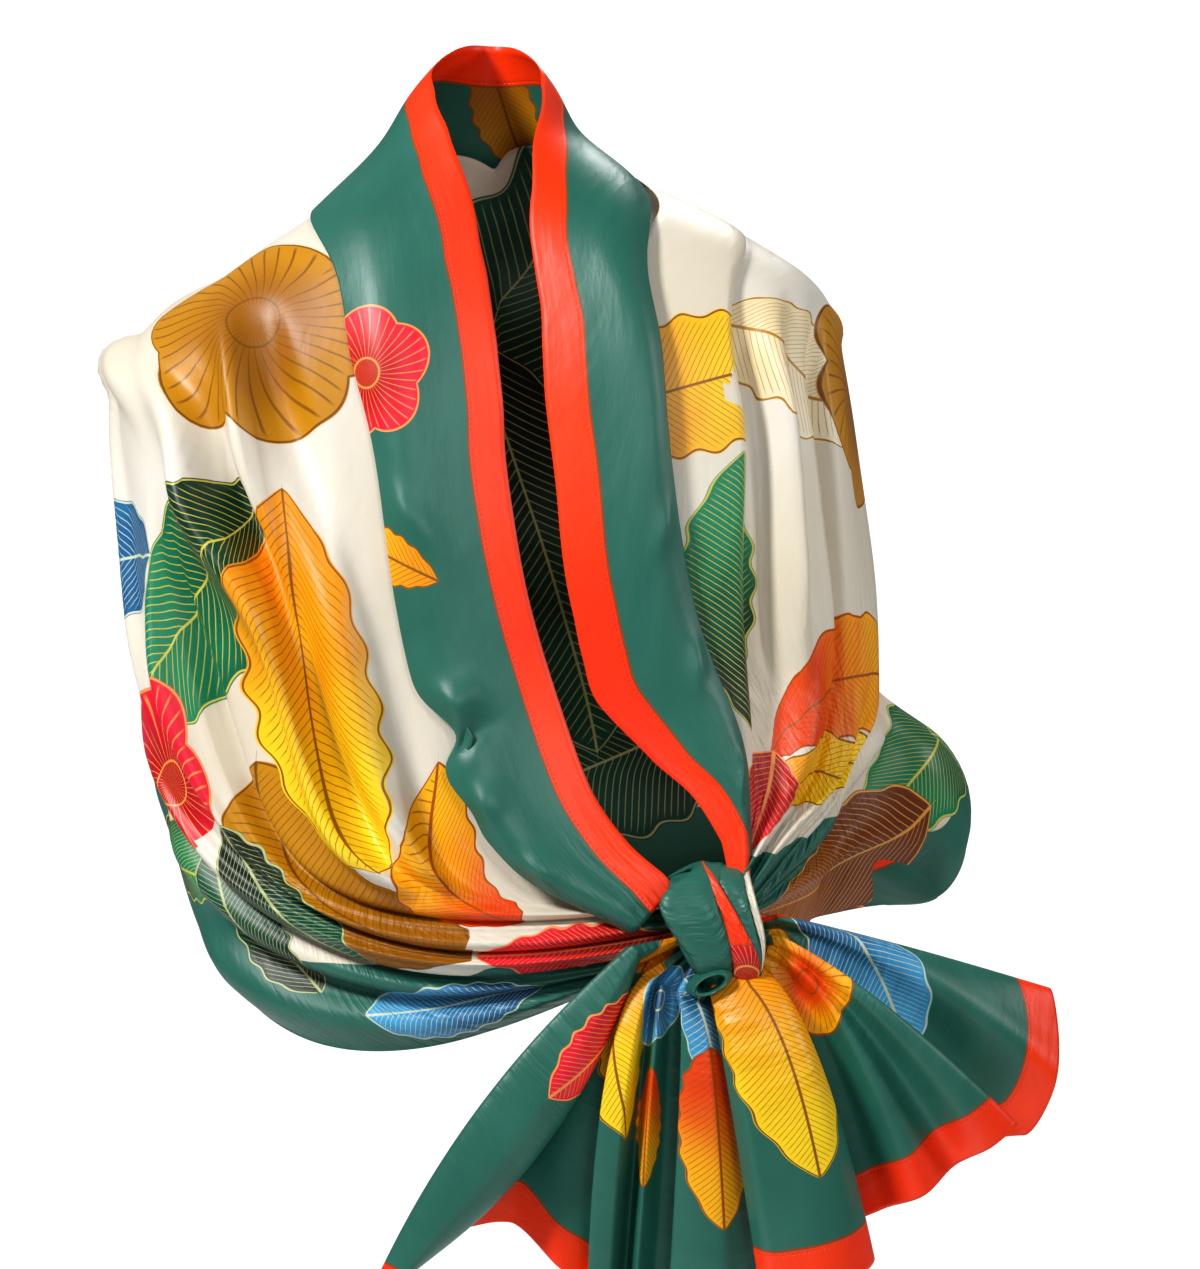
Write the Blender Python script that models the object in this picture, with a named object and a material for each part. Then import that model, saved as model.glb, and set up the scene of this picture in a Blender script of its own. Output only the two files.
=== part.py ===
"""Long satin scarf, worn as a wrap and tied in front. Blender 4.5, metres, +Z up.

The scarf is one rectangle of cloth, 1.80 m by 0.90 m, worn with its middle behind the neck.
It is modelled hollow, as a wall of cloth on a general figure, one solid for each stretch that
shows: the stand-up collar, the two turned-back lapels, the back, a drape over each shoulder
and arm, a sling under each drape, the knot and the two tails.

The origin is the middle of the neck, level with the nape. +X is to the right of someone who
looks at the front, which faces -Y. Tables are in millimetres and degrees, meshes in metres.
"""

import bpy
import numpy as np

MM = 0.001
WALL = 1.3  # thickness of the cloth wall
BAND_WIDTH = 100.0  # cloth from the front edge to the fold of the collar and lapels
TOP_LINE = 340.0  # first line of the cloth below the collar; what lies between is pleated away
HEM_LINE = 900.0  # the lower hem, so also the width of the scarf

# The figure under the cloth, one row for each level: half widths to the left and to the
# right, depths to the front and to the back, and how square the level is (2 is an ellipse).
FIGURE = (  # z, left, right, front, back, square
    (104, 13, 13, 8, 45, 2.0),
    (86, 31, 31, 22, 51, 2.0),
    (62, 50, 47, 36, 57, 2.0),
    (38, 62, 60, 48, 63, 2.0),
    (14, 80, 92, 60, 70, 2.1),
    (-10, 110, 136, 72, 79, 2.2),
    (-35, 147, 182, 82, 87, 2.3),
    (-60, 184, 206, 91, 93, 2.4),
    (-90, 217, 214, 100, 99, 2.5),
    (-130, 224, 221, 108, 104, 2.6),
    (-200, 216, 229, 121, 109, 2.6),
    (-280, 211, 235, 130, 107, 2.6),
    (-350, 204, 231, 135, 103, 2.5),
    (-420, 190, 214, 138, 99, 2.5),
    (-480, 168, 188, 138, 96, 2.4),
    (-560, 130, 150, 136, 94, 2.4),
)

# Where the lines of the cloth run, one row for each line, from the spine to the knot. cloth
# is the line's distance from the front edge and side_z its height at the outermost point of
# the neck or arm. The pairs are places on the front. The lifts are how far it stands off the
# figure at the side and on the front.
LINE_COLUMNS = (
    "cloth", "side_z",
    "top_x", "top_z", "chest_x", "chest_z", "waist_x", "waist_z",
    "turn_x", "turn_z", "run_x", "run_z",
    "side_lift", "front_lift",
)
PLACES = ("top", "chest", "waist", "turn", "run")
BAND_LEFT = (
    (0, 84, -12, 12, 4, -66, 23, -205, 55, -296, 82, -358, 0, 0),
    (100, -5, -90, -36, -78, -90, -56, -200, -38, -292, 0, -368, 1, 2),
)
BAND_RIGHT = (
    (0, 81, 26, 10, 32, -66, 47, -205, 86, -298, 127, -343, 0, 3),
    (100, 4, 104, -32, 105, -84, 114, -190, 134, -278, 153, -332, 2, 8),
)
BODY_LEFT = (
    (340, 12, -70, -30, -56, -90, -32, -200, -12, -290, 28, -364, 0, 1),
    (375, -9, -93, -37, -76, -97, -54, -206, -32, -298, 6, -381, 1, 2),
    (390, -17, -105, -42, -88, -102, -66, -211, -43, -306, -2, -388, 1, 2),
    (405, -24, -120, -49, -105, -111, -83, -221, -60, -321, -8, -394, 1, 3),
    (430, -36, -141, -64, -131, -134, -109, -234, -80, -344, -15, -401, 1, 4),
    (475, -60, -176, -100, -160, -168, -128, -256, -97, -366, -28, -410, 2, 6),
    (530, -88, -206, -125, -190, -195, -170, -286, -128, -380, -40, -420, 2, 8),
    (635, -200, -211, -235, -200, -285, -182, -335, -137, -391, -46, -433, 3, 9),
    (725, -292, -207, -313, -200, -334, -187, -356, -147, -404, -49, -443, 5, 9),
    (740, -303, -206, -320, -198, -342, -185, -363, -144, -409, -48, -448, 3, 3.5),
    (765, -318, -206, -312, -199, -328, -186, -347, -145, -392, -47, -437, 0, -3),
    (820, -354, -204, -366, -193, -388, -172, -415, -134, -443, -46, -464, -1, -2),
    (900, -418, -187, -434, -170, -454, -146, -477, -100, -496, -20, -492, -2, -2),
)
BODY_RIGHT = (
    (340, 16, 86, -28, 84, -84, 92, -190, 112, -276, 134, -330, 0, 4),
    (375, -10, 143, -43, 144, -108, 146, -198, 149, -278, 152, -333, 3, 10),
    (390, -16, 148, -47, 149, -111, 151, -201, 154, -281, 156, -336, 2, 4.5),
    (405, -20, 137, -44, 136, -108, 138, -198, 143, -279, 158, -338, 0, -1),
    (430, -28, 162, -52, 160, -116, 161, -207, 162, -287, 162, -341, 0, 1),
    (475, -44, 188, -74, 184, -140, 182, -222, 178, -298, 170, -347, 1, 3),
    (530, -64, 206, -104, 206, -170, 206, -246, 199, -313, 180, -354, 2, 5),
    (635, -165, 222, -190, 224, -232, 220, -286, 206, -334, 184, -363, 3, 7),
    (725, -268, 233, -280, 230, -296, 224, -317, 212, -341, 193, -367, 5, 9),
    (740, -282, 233, -288, 230, -303, 224, -323, 212, -347, 193, -371, 3, 3.5),
    (765, -289, 232, -284, 230, -293, 224, -311, 211, -335, 192, -365, 0, -3),
    (820, -322, 231, -326, 226, -344, 218, -364, 206, -382, 190, -393, -1, -2),
    (900, -400, 222, -408, 214, -422, 206, -434, 196, -438, 184, -433, -2, -2),
)
# Where the gathered cloth enters the knot. The body's lines lie round the front of a flat
# bundle there: where it ends in x, the height of its middle, its half height, how far it
# stands off the figure at its edges and how much further in the middle.
BUNDLE_LEFT = (95, -421.5, 20, 0, 24)
BUNDLE_RIGHT = (168, -397, 20, 26, 24)
BAND_END_LEFT = ((94, -397), (80, -409), 16)  # the lapel's edge, its fold, and its lift
BAND_END_RIGHT = ((152, -380), (164, -377), 38)

# How the collar and lapels roll from their free edge to their fold: distance across, and
# how far they stand off round the back and on the front.
ROLL = (  # cloth, back, front
    (0, 1, 5),
    (50, 3, 10),
    (86, 5, 12),
    (100, 2.7, 6),
)

# The largest folds of the drapes: side, distance of the crest from the front edge, half
# width, height, and where along the cloth the fold begins and ends (0 spine, 1 knot).
FOLDS = (  # side, cloth, half_width, height, start, end
    (-1, 432, 12, 7, 0.38, 1.2),
    (-1, 476, 14, 11, 0.36, 1.2),
    (-1, 532, 20, 14, 0.34, 1.2),
    (-1, 606, 22, 10, 0.44, 1.2),
    (-1, 680, 22, 8, 0.46, 1.2),
    (1, 470, 14, 9, 0.40, 1.2),
    (1, 535, 18, 11, 0.36, 1.2),
    (1, 615, 22, 12, 0.40, 1.2),
    (1, 682, 20, 8, 0.46, 1.2),
    (-1, 860, 22, 6, 0.42, 1.2),
    (-1, 520, 40, 8, -0.1, 0.30),
    (-1, 700, 50, 9, -0.1, 0.28),
    (1, 450, 40, 7, -0.1, 0.28),
    (1, 620, 50, 9, -0.1, 0.26),
    (1, 810, 50, 6, -0.1, 0.28),
)
# Folds have their full height where lines one millimetre apart in the flat cloth lie at least
# this far apart, measured square to the lines.
ROOM_FOR_FOLDS = 0.55
PUFF_HEIGHT = 74.0  # how far the right sling balloons out beside the arm
PUFF_PLACE = 0.47  # along the cloth
PUFF_REACH = 0.18
PUFF_RISE = (784.0, 852.0)  # distances from the front edge between which it swells
PUFF_FALL = (862.0, 910.0)  # and between which it draws in again, by a third

# Parts of the cloth's length, from the spine (0) to the knot (1).
COLLAR_END = 0.20  # the collar becomes the lapel where it leaves the neck
BACK_END = 0.29  # the back becomes the drapes and slings behind the arms
SEAM = 0.0012  # the share left free between one stretch and the next
PLEAT_END = 0.955  # the right pleat ends under the lapel, short of the knot
RIGHT_DRAPE_END = 0.97
# The pleats begin at the first of these and are open at the second.
PLEATS_OPEN_LEFT = (0.31, 0.42)
PLEATS_OPEN_RIGHT = (0.40, 0.50)
# Distances from the front edge at which each pleat's outer cloth ends and its inner cloth
# begins: where the pleat begins, and where it is open.
PLEAT_OUTER, PLEAT_INNER = (392, 388), (394, 409)
DRAPE_OUTER, SLING_INNER = (746, 743), (750, 771)

# The wrap of the knot, a band round the gathered cloth, by height: its two edges.
WRAP = (  # z, left, right
    (-385, 103, 163),
    (-400, 100, 165),
    (-424, 109, 166),
    (-448, 121, 163),
    (-463, 129, 159),
)
WRAP_HALF_HEIGHT = 37.0
WRAP_HALF_DEPTH = 28.0
WRAP_MIDDLE_Y = -152.0
WRAP_PLEATS = 3  # strips that the band is folded into
WRAP_PLEAT_DEPTH = 2.0
CORE = (  # x, z, half height, half depth of the cloth gathered inside the wrap
    (96.5, -422, 17, 12),
    (100, -422, 22, 16),
    (107, -423, 28, 20),
    (116, -424, 32, 22),
    (128, -424, 34.5, 23),
    (142, -424, 34.5, 23),
    (154, -422, 32, 22),
    (162, -417, 24, 18),
    (166.5, -409, 16, 12),
)

# The folds of the tails, one row for each crest, valley or turned edge, in order round the
# knot: a point at the knot, one half way down and one on the hem, each with how far forward
# it is. Where a row goes back past the one before it, the cloth laps over itself.
TAIL_RIGHT = (  # knot x, z, y, middle x, z, y, hem x, z, y
    (132, -457, -178, 143, -514, -192, 161, -628, -190),
    (137, -457, -180, 152, -515, -202, 172, -628, -202),
    (147, -455, -182, 171, -512, -204, 196, -624, -206),
    (158, -451, -180, 190, -504, -198, 219, -618, -198),
    (164.8, -446, -170.5, 196, -498, -184, 228, -614, -176),
    (166.4, -444, -163, 184, -496, -168, 212, -602, -158),
    (170, -441, -161, 197, -484, -166, 234, -588, -162),
    (172.5, -437, -166, 211, -478, -180, 257, -576, -177),
    (173, -433, -163, 219, -474, -173, 277, -562, -161),
    (174.5, -429.5, -167, 230, -469, -184, 297, -548, -173),
    (174.5, -426, -166, 237, -466, -181, 312, -537, -165),
    (173, -426.5, -158, 224, -474, -160, 296, -552, -142),
    (173.5, -423, -154, 240, -462, -151, 320, -552, -129),
    (175, -419, -158, 251, -451, -157, 338, -518, -135),
    (174, -416, -161, 254, -443, -152, 341, -494, -120),
    (172, -414, -158, 248, -436, -142, 337, -468, -104),
    (171, -415, -154, 240, -440, -130, 324, -474, -90),
)
TAIL_LEFT = (
    (136, -463, -150, 158, -520, -154, 170, -652, -150),
    (131, -463, -159, 150, -522, -170, 162, -660, -166),
    (125, -464.5, -169.5, 133, -524, -188, 141, -667, -185),
    (114, -457, -168.5, 114, -514, -182, 106, -671, -177),
    (112, -458.5, -159, 118, -512, -170, 108, -671, -168),
    (109, -457, -158, 108, -510, -165, 98, -672, -164),
    (105, -453, -165, 98, -508, -183, 86, -673, -178),
    (101, -452, -159, 92, -510, -167, 80, -672, -160),
    (102, -448, -167.5, 83, -508, -187, 71, -668, -180),
    (93.5, -447, -167, 70, -512, -182, 60, -656, -175),
    (95, -446.5, -158.5, 72, -519, -166, 65, -640, -160),
    (92, -447, -153, 54, -524, -159, 44, -622, -166),
    (89, -446, -152, 36, -531, -150, 14, -600, -148),
    (88, -445, -158, 20, -542, -154, -10, -604, -144),
    (91, -439, -170, 33, -551, -178, -56, -632, -163),
    (90, -433, -178, 20, -536, -194, -60, -640, -178),
    (86, -429, -176, -2, -522, -184, -68, -640, -168),
    (82, -432, -166, -3, -530, -168, -66, -636, -154),
)


def spline(knots, values, at):
    """Natural cubic spline through values, whose first axis follows knots, read at places."""
    x = np.asarray(knots, float)
    y = np.asarray(values, float)
    at = np.asarray(at, float)
    step = np.diff(x)
    count = len(x)
    slope = np.diff(y, axis=0) / step.reshape(-1, *[1] * (y.ndim - 1))
    system = np.eye(count)
    pull = np.zeros_like(y)
    for i in range(1, count - 1):
        system[i, i - 1 : i + 2] = step[i - 1], 2 * (step[i - 1] + step[i]), step[i]
        pull[i] = 6 * (slope[i] - slope[i - 1])
    bend = np.linalg.solve(system, pull.reshape(count, -1)).reshape(y.shape)
    i = np.clip(np.searchsorted(x, at) - 1, 0, count - 2)
    fit = at.shape + (1,) * (y.ndim - 1)
    w = step[i].reshape(fit)
    a = (x[i + 1] - at).reshape(fit)
    b = (at - x[i]).reshape(fit)
    curved = (bend[i] * a**3 + bend[i + 1] * b**3) / (6 * w)
    return curved + (y[i] / w - bend[i] * w / 6) * a + (y[i + 1] / w - bend[i + 1] * w / 6) * b


def steady(knots, values, at):
    """Smooth curve through values that never swings past them: cubic pieces whose slopes at
    the knots are the harmonic means of the slopes on both sides, or level at a turning point."""
    x = np.asarray(knots, float)
    y = np.asarray(values, float)
    at = np.clip(np.asarray(at, float), x[0], x[-1])
    step = np.diff(x).reshape(-1, *[1] * (y.ndim - 1))
    slope = np.diff(y, axis=0) / step
    before, after = slope[:-1], slope[1:]
    same_way = before * after > 0
    total = np.where(same_way, before + after, 1)
    inner = np.where(same_way, 2 * before * after / total, 0)
    tangent = np.concatenate([slope[:1], inner, slope[-1:]])
    i = np.clip(np.searchsorted(x, at) - 1, 0, len(x) - 2)
    t = ((at - x[i]) / np.diff(x)[i]).reshape(at.shape + (1,) * (y.ndim - 1))
    rise = y[i + 1] - y[i]
    bend_in = (tangent[i] * step[i] - rise) * (1 - t)
    bend_out = (rise - tangent[i + 1] * step[i]) * t
    return y[i] + t * rise + t * (1 - t) * (bend_in + bend_out)


def ease(x, low, high):
    """0 below low, 1 above high, and a smooth step between them."""
    t = np.clip((np.asarray(x, float) - low) / (high - low), 0, 1)
    return t * t * (3 - 2 * t)


def figure_at(z):
    """Half widths, depths and squareness of the figure at height z."""
    rows = np.array(FIGURE[::-1], float)
    found = spline(rows[:, 0], rows[:, 1:], np.clip(z, rows[0, 0], rows[-1, 0]))
    return [found[..., i] for i in range(5)]


def on_figure(degrees, z):
    """A point on the figure. degrees run from the spine (0) to the arm on the left (90) and
    the front (180), and to the arm on the right (-90) and the front (-180). Each level is a
    rounded rectangle, cut by the ray at that angle where |s|^n + |c|^n = 1."""
    left, right, front, back, square = figure_at(z)
    s, c = np.sin(np.radians(degrees)), np.cos(np.radians(degrees))
    reach = (np.abs(s) ** square + np.abs(c) ** square) ** (-1 / square)
    x = -np.where(s > 0, left, right) * s * reach
    y = np.where(c > 0, back, front) * c * reach
    return np.stack([x, y, z + 0 * x], axis=-1)


def off_figure(degrees, z):
    """Unit vectors that point straight off the figure."""
    nudge = 0.5
    round_it = on_figure(degrees + nudge, z) - on_figure(degrees - nudge, z)
    up_it = on_figure(degrees, z + nudge) - on_figure(degrees, z - nudge)
    n = np.cross(round_it, up_it)
    return n / np.linalg.norm(n, axis=-1, keepdims=True)


def front_degrees(x, z):
    """The angle at which the front of the figure passes x at height z; 180 is the middle."""
    left, right, _, _, square = figure_at(np.asarray(z, float))
    share = np.clip(np.where(x < 0, x / left, x / right), -0.995, 0.995)
    depth = (1 - np.abs(share) ** square) ** (1 / square)
    return 180 + np.degrees(np.arctan2(share, depth))


def bundle_end(cloth, side):
    """Where a line of the body enters the knot, and its lift there: round a half circle of
    cloth from 10 degrees below its top to 10 above its bottom, flattened to the bundle."""
    x, z, half_height, edge_lift, depth = BUNDLE_LEFT if side < 0 else BUNDLE_RIGHT
    turn = np.radians(10 + 160 * (cloth - TOP_LINE) / (HEM_LINE - TOP_LINE))
    return x, z + half_height * np.cos(turn), edge_lift + depth * np.sin(turn)


def band_end(cloth, side):
    """Where a line of the lapel ends at the knot, and its lift there."""
    edge, fold, lift = BAND_END_LEFT if side < 0 else BAND_END_RIGHT
    x, z = np.array(edge) + (np.array(fold) - edge) * cloth / BAND_WIDTH
    return x, z, lift


def half_line(row, back_z, knot_end, side):
    """Angle, height and lift of one line at its places on one side (-1 left, 1 right), from
    the spine to the knot."""
    r = dict(zip(LINE_COLUMNS, row))
    knot_x, knot_z, knot_lift = knot_end(r["cloth"], side)
    places = [(r[place + "_x"], r[place + "_z"]) for place in PLACES] + [(knot_x, knot_z)]
    degrees, heights = [0.0, -90.0 * side], [back_z(r["cloth"]), r["side_z"]]
    for x, z in places:
        turned = float(front_degrees(x, z))
        degrees.append(turned if side < 0 else turned - 360)
        heights.append(z)
    side_lift, front = r["side_lift"], r["front_lift"]
    near_knot = (front + knot_lift) / 2
    lifts = [0, side_lift, (side_lift + front) / 2, front, front, front, near_knot, knot_lift]
    return np.array([degrees, heights, lifts]).T


def shares(lines):
    """How far along the cloth each place lies (0 to 1), by the mean run between the places."""
    points = on_figure(lines[..., 0], lines[..., 1])
    run = np.linalg.norm(np.diff(points, axis=1), axis=-1).mean(axis=0)
    return np.append(0, np.cumsum(run)) / run.sum()


def sheet(left_table, right_table, back_z, knot_end, extra_lift, along, across):
    """Points of the cloth (mm) on a grid whose columns lie at the places along, from the left
    knot (-1) to the right (1). across gives each point's distance from the front edge."""
    left = np.array([half_line(row, back_z, knot_end, -1) for row in left_table])
    right = np.array([half_line(row, back_z, knot_end, 1) for row in right_table])
    places = np.append(-shares(left)[:0:-1], shares(right))
    both = np.concatenate([left[:, :0:-1], right], axis=1)
    cloth = [row[0] for row in left_table]

    def on_lines(along, across):
        lines = np.swapaxes(spline(places, np.swapaxes(both, 0, 1), along), 0, 1)
        columns = [steady(cloth, c, at) for c, at in zip(np.swapaxes(lines, 0, 1), across.T)]
        return np.moveaxis(np.stack(columns, axis=1), -1, 0)

    degrees, z, lift = on_lines(along, across)
    bare = on_figure(degrees, z)
    ahead = on_figure(*on_lines(along + 0.002, across)[:2]) - bare
    below = on_figure(*on_lines(along, across + 1)[:2]) - bare
    area = np.linalg.norm(np.cross(ahead, below), axis=-1)
    room = np.clip(area / np.linalg.norm(ahead, axis=-1) / ROOM_FOR_FOLDS, 0, 1)
    toward_knot = ease(np.abs(along), 0.78, 0.95)[:, None]
    out = off_figure(degrees, z) * (1 - toward_knot) + np.array([0, -1, 0]) * toward_knot
    out /= np.linalg.norm(out, axis=-1, keepdims=True)
    lift = lift + extra_lift(np.abs(along), across, np.sign(along), room)
    return bare + lift[..., None] * out


def sheet_normals(cloth, along, across):
    """Unit normals of a sheet, from points a little further along and across it."""
    far_along, far_across = 0.002, 0.5
    run = cloth(along + far_along, across) - cloth(along - far_along, across)
    fall = cloth(along, across + far_across) - cloth(along, across - far_across)
    n = np.cross(run, fall)
    return n / np.linalg.norm(n, axis=-1, keepdims=True)


def band_back_z(cloth):
    """Height of the collar's lines at the spine."""
    return 97 - cloth * 0.99


def body_back_z(cloth):
    """Height of the back's lines at the spine."""
    return 22 - (cloth - TOP_LINE) * 0.93


def roll_lift(along, across, side, room):
    """How far the collar and lapels stand off: their roll, from its back to its front form."""
    rows = np.array(ROLL, float)
    roll = spline(rows[:, 0], rows[:, 1:], across)
    front = ease(along, 0.15, 0.40)
    return roll[..., 0] * (1 - front) + roll[..., 1] * front


def fold_lift(along, across, side, room):
    """How far the folds and the puff of the right sling stand off the cloth's lines. A fold is
    as high as its row says where the cloth is spread, and lower where there is no room."""
    lift = 0 * along * across
    for fold_side, cloth, half_width, height, start, end in FOLDS:
        crest = np.exp(-(((across - cloth) / half_width) ** 2))
        length = ease(along, start, start + 0.14) * (1 - ease(along, end - 0.14, end))
        lift = lift + np.where(side == fold_side, height * crest * length * room, 0)
    place = np.exp(-(((along - PUFF_PLACE) / PUFF_REACH) ** 2))
    swell = ease(across, *PUFF_RISE) * (1 - 0.35 * ease(across, *PUFF_FALL))
    return lift + np.where(side > 0, PUFF_HEIGHT * place * swell, 0)


def grid_normals(points):
    """Unit normals of a grid of points."""
    n = np.cross(np.gradient(points, axis=0), np.gradient(points, axis=1))
    return n / np.maximum(np.linalg.norm(n, axis=-1, keepdims=True), 1e-9)


def add_object(name, points, faces):
    """A named mesh object from points in millimetres, with its faces turned outwards."""
    corners = points * MM
    mesh = bpy.data.meshes.new(name)
    mesh.from_pydata(corners.tolist(), [], faces)
    volume = 0.0
    for polygon in mesh.polygons:
        a, *others = corners[list(polygon.vertices)]
        for b, c in zip(others, others[1:]):
            volume += np.dot(a, np.cross(b, c))
    if volume < 0:
        mesh.flip_normals()
    mesh.shade_smooth()
    obj = bpy.data.objects.new(name, mesh)
    bpy.context.scene.collection.objects.link(obj)
    return obj


def quads(a, b, c, d):
    """Four-cornered faces from four arrays of point numbers."""
    return np.stack([a.ravel(), b.ravel(), c.ravel(), d.ravel()], axis=-1).tolist()


def add_wall(name, outer, inner, closed=False):
    """The cloth as one solid: a grid of points, the grid a wall's thickness further in, and
    the rims between them. closed joins the last row to the first, as on a ring."""
    face = np.arange(outer.shape[0] * outer.shape[1]).reshape(outer.shape[:2])
    if closed:
        face = np.vstack([face, face[:1]])
    back = face + outer.shape[0] * outer.shape[1]
    faces = quads(face[:-1, :-1], face[:-1, 1:], face[1:, 1:], face[1:, :-1])
    faces += quads(back[:-1, :-1], back[1:, :-1], back[1:, 1:], back[:-1, 1:])
    faces += quads(face[:-1, 0], face[1:, 0], back[1:, 0], back[:-1, 0])
    faces += quads(face[:-1, -1], back[:-1, -1], back[1:, -1], face[1:, -1])
    if not closed:
        faces += quads(face[0, :-1], back[0, :-1], back[0, 1:], face[0, 1:])
        faces += quads(face[-1, :-1], face[-1, 1:], back[-1, 1:], back[-1, :-1])
    return add_object(name, np.concatenate([outer.reshape(-1, 3), inner.reshape(-1, 3)]), faces)


def sheet_wall(name, cloth, along, across):
    """A stretch of a sheet as a wall. Its two long edges take their neighbours' normals, so
    that the wall doesn't turn over where a pleat doubles back."""
    outer = cloth(along, across)
    normals = sheet_normals(cloth, along, across)
    normals[0], normals[-1] = normals[1], normals[-2]
    return add_wall(name, outer, outer - WALL * normals)


def band_cloth(along, across):
    """The collar and lapels."""
    return sheet(BAND_LEFT, BAND_RIGHT, band_back_z, band_end, roll_lift, along, across)


def body_cloth(along, across):
    """The back, drapes and slings."""
    return sheet(BODY_LEFT, BODY_RIGHT, body_back_z, bundle_end, fold_lift, along, across)


def band(name, start, end, along_steps, across_steps):
    """A stretch of the collar or a lapel, from start to end along the cloth."""
    along = np.linspace(start, end, along_steps + 1)
    across = BAND_WIDTH * np.sin(np.linspace(0, np.pi / 2, across_steps + 1))
    return sheet_wall(name, band_cloth, along, across[:, None] + 0 * along)


def body(name, start, end, along_steps, rows, first=None, last=None):
    """A stretch of the back, a drape or a sling, along the cloth and on the given lines. first
    and last are pairs: where its edge lies behind the arm, and where a pleat has opened."""
    along = np.linspace(start, end, along_steps + 1)
    across = np.array(rows, float)[:, None] + 0 * along
    opened = ease(np.abs(along), *(PLEATS_OPEN_LEFT if start < 0 else PLEATS_OPEN_RIGHT))
    if first:
        across[0] = first[0] + (first[1] - first[0]) * opened
    if last:
        across[-1] = last[0] + (last[1] - last[0]) * opened
    return sheet_wall(name, body_cloth, along, across)


def tail(name, rows, along_steps, steps_per_fold):
    """A tail of the scarf: a fan of folds that leave the knot as a bundle and open to the hem.
    Through each row's three points goes one bowed line, a parabola on the share of the way
    down, and a smooth curve goes from line to line."""
    table = np.array(rows, float).reshape(len(rows), 3, 3)[..., [0, 2, 1]]
    at = np.linspace(0, len(rows) - 1, (len(rows) - 1) * steps_per_fold + 1)
    knot, middle, hem = np.moveaxis(steady(np.arange(len(rows)), table, at), 1, 0)
    s = np.linspace(0, 1, along_steps + 1)[:, None, None]
    points = (1 - s) * (1 - 2 * s) * knot + 4 * s * (1 - s) * middle + s * (2 * s - 1) * hem
    return add_wall(name, points, points + WALL * grid_normals(points))


def wrap(name, round_steps, across_steps):
    """The wrap of the knot: a flattened ring round the gathered cloth, whose edges lean to
    one side as it comes down, folded into strips."""
    turn = np.linspace(0, 2 * np.pi, round_steps, endpoint=False)[:, None]
    share = np.linspace(0, 1, across_steps + 1)[None, :]
    rows = np.array(WRAP[::-1], float)
    top, bottom = rows[-1, 0], rows[0, 0]
    middle = (top + bottom) / 2
    z_edge = middle + (top - middle) * np.sin(turn)
    left, right = np.moveaxis(spline(rows[:, 0], rows[:, 1:], z_edge[:, 0]), -1, 0)
    strips = WRAP_PLEAT_DEPTH * np.abs(np.sin(np.pi * WRAP_PLEATS * share))
    x = left[:, None] + (right - left)[:, None] * share
    y = WRAP_MIDDLE_Y - (WRAP_HALF_DEPTH + strips) * np.cos(turn)
    z = middle + (WRAP_HALF_HEIGHT + strips) * np.sin(turn)
    points = np.stack([x, y, z], axis=-1)
    normals = grid_normals(np.concatenate([points[-1:], points, points[:1]]))[1:-1]
    return add_wall(name, points, points + WALL * normals, closed=True)


def core(name, round_steps):
    """The cloth gathered inside the wrap, a lump built of rings along X."""
    turn = np.linspace(0, 2 * np.pi, round_steps, endpoint=False)
    x, z, half_height, half_depth = (column[:, None] for column in np.array(CORE, float).T)
    rings = np.stack(
        [x + 0 * turn, WRAP_MIDDLE_Y + half_depth * np.cos(turn), z + half_height * np.sin(turn)],
        axis=-1,
    )
    face = np.arange(rings.shape[0] * round_steps).reshape(rings.shape[:2])
    ahead = np.roll(face, -1, axis=1)
    faces = quads(face[:-1], face[1:], ahead[1:], ahead[:-1])
    faces += [face[0].tolist(), face[-1, ::-1].tolist()]
    return add_object(name, rings.reshape(-1, 3), faces)


def give_material(obj, colour, roughness):
    """The object's own satin."""
    material = bpy.data.materials.new(obj.name)
    material.use_nodes = True
    shader = material.node_tree.nodes["Principled BSDF"]
    shader.inputs["Base Color"].default_value = (*colour, 1.0)
    shader.inputs["Roughness"].default_value = roughness
    shader.inputs["Metallic"].default_value = 0.0
    obj.data.materials.append(material)


def between(low, high, steps):
    """Evenly spaced lines of the cloth from low to high."""
    return list(np.linspace(low, high, steps + 1))


GREEN = (0.035, 0.14, 0.11)
ORANGE = (0.90, 0.07, 0.01)
CREAM = (0.86, 0.80, 0.66)
GOLD = (0.55, 0.26, 0.03)
SATIN = 0.38

for old in list(bpy.data.objects):
    bpy.data.objects.remove(old, do_unlink=True)

PLEAT_ROWS = [TOP_LINE, 358, 369, 376, 381, 385, 388]
DRAPE_ROWS = [409, 417] + between(430, 700, 9) + [716, 726, 733, 738, 743]
SLING_ROWS = [771, 780, 796] + between(820, HEM_LINE, 4)
BACK_ROWS = PLEAT_ROWS[:-1] + [393] + DRAPE_ROWS[:-1] + [748] + SLING_ROWS

BACK_STEPS, FRONT_STEPS, BAND_STEPS, TAIL_STEPS = 16, 22, 6, 9

lapel_start, front_start = COLLAR_END + SEAM, BACK_END + SEAM
collar_back = band("collar_back", -COLLAR_END, COLLAR_END, BACK_STEPS, BAND_STEPS)
lapel_left = band("lapel_left", -1, -lapel_start, FRONT_STEPS, BAND_STEPS)
lapel_right = band("lapel_right", lapel_start, 1, FRONT_STEPS, BAND_STEPS)
back_panel = body("back_panel", -BACK_END, BACK_END, BACK_STEPS, BACK_ROWS)
drape_left = body(
    "drape_left", -1, -front_start, FRONT_STEPS, PLEAT_ROWS + DRAPE_ROWS[1:], last=DRAPE_OUTER
)
sling_left = body("sling_left", -1, -front_start, FRONT_STEPS, SLING_ROWS, first=SLING_INNER)
pleat_right = body(
    "pleat_right", front_start, PLEAT_END, FRONT_STEPS, PLEAT_ROWS, last=PLEAT_OUTER
)
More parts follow.
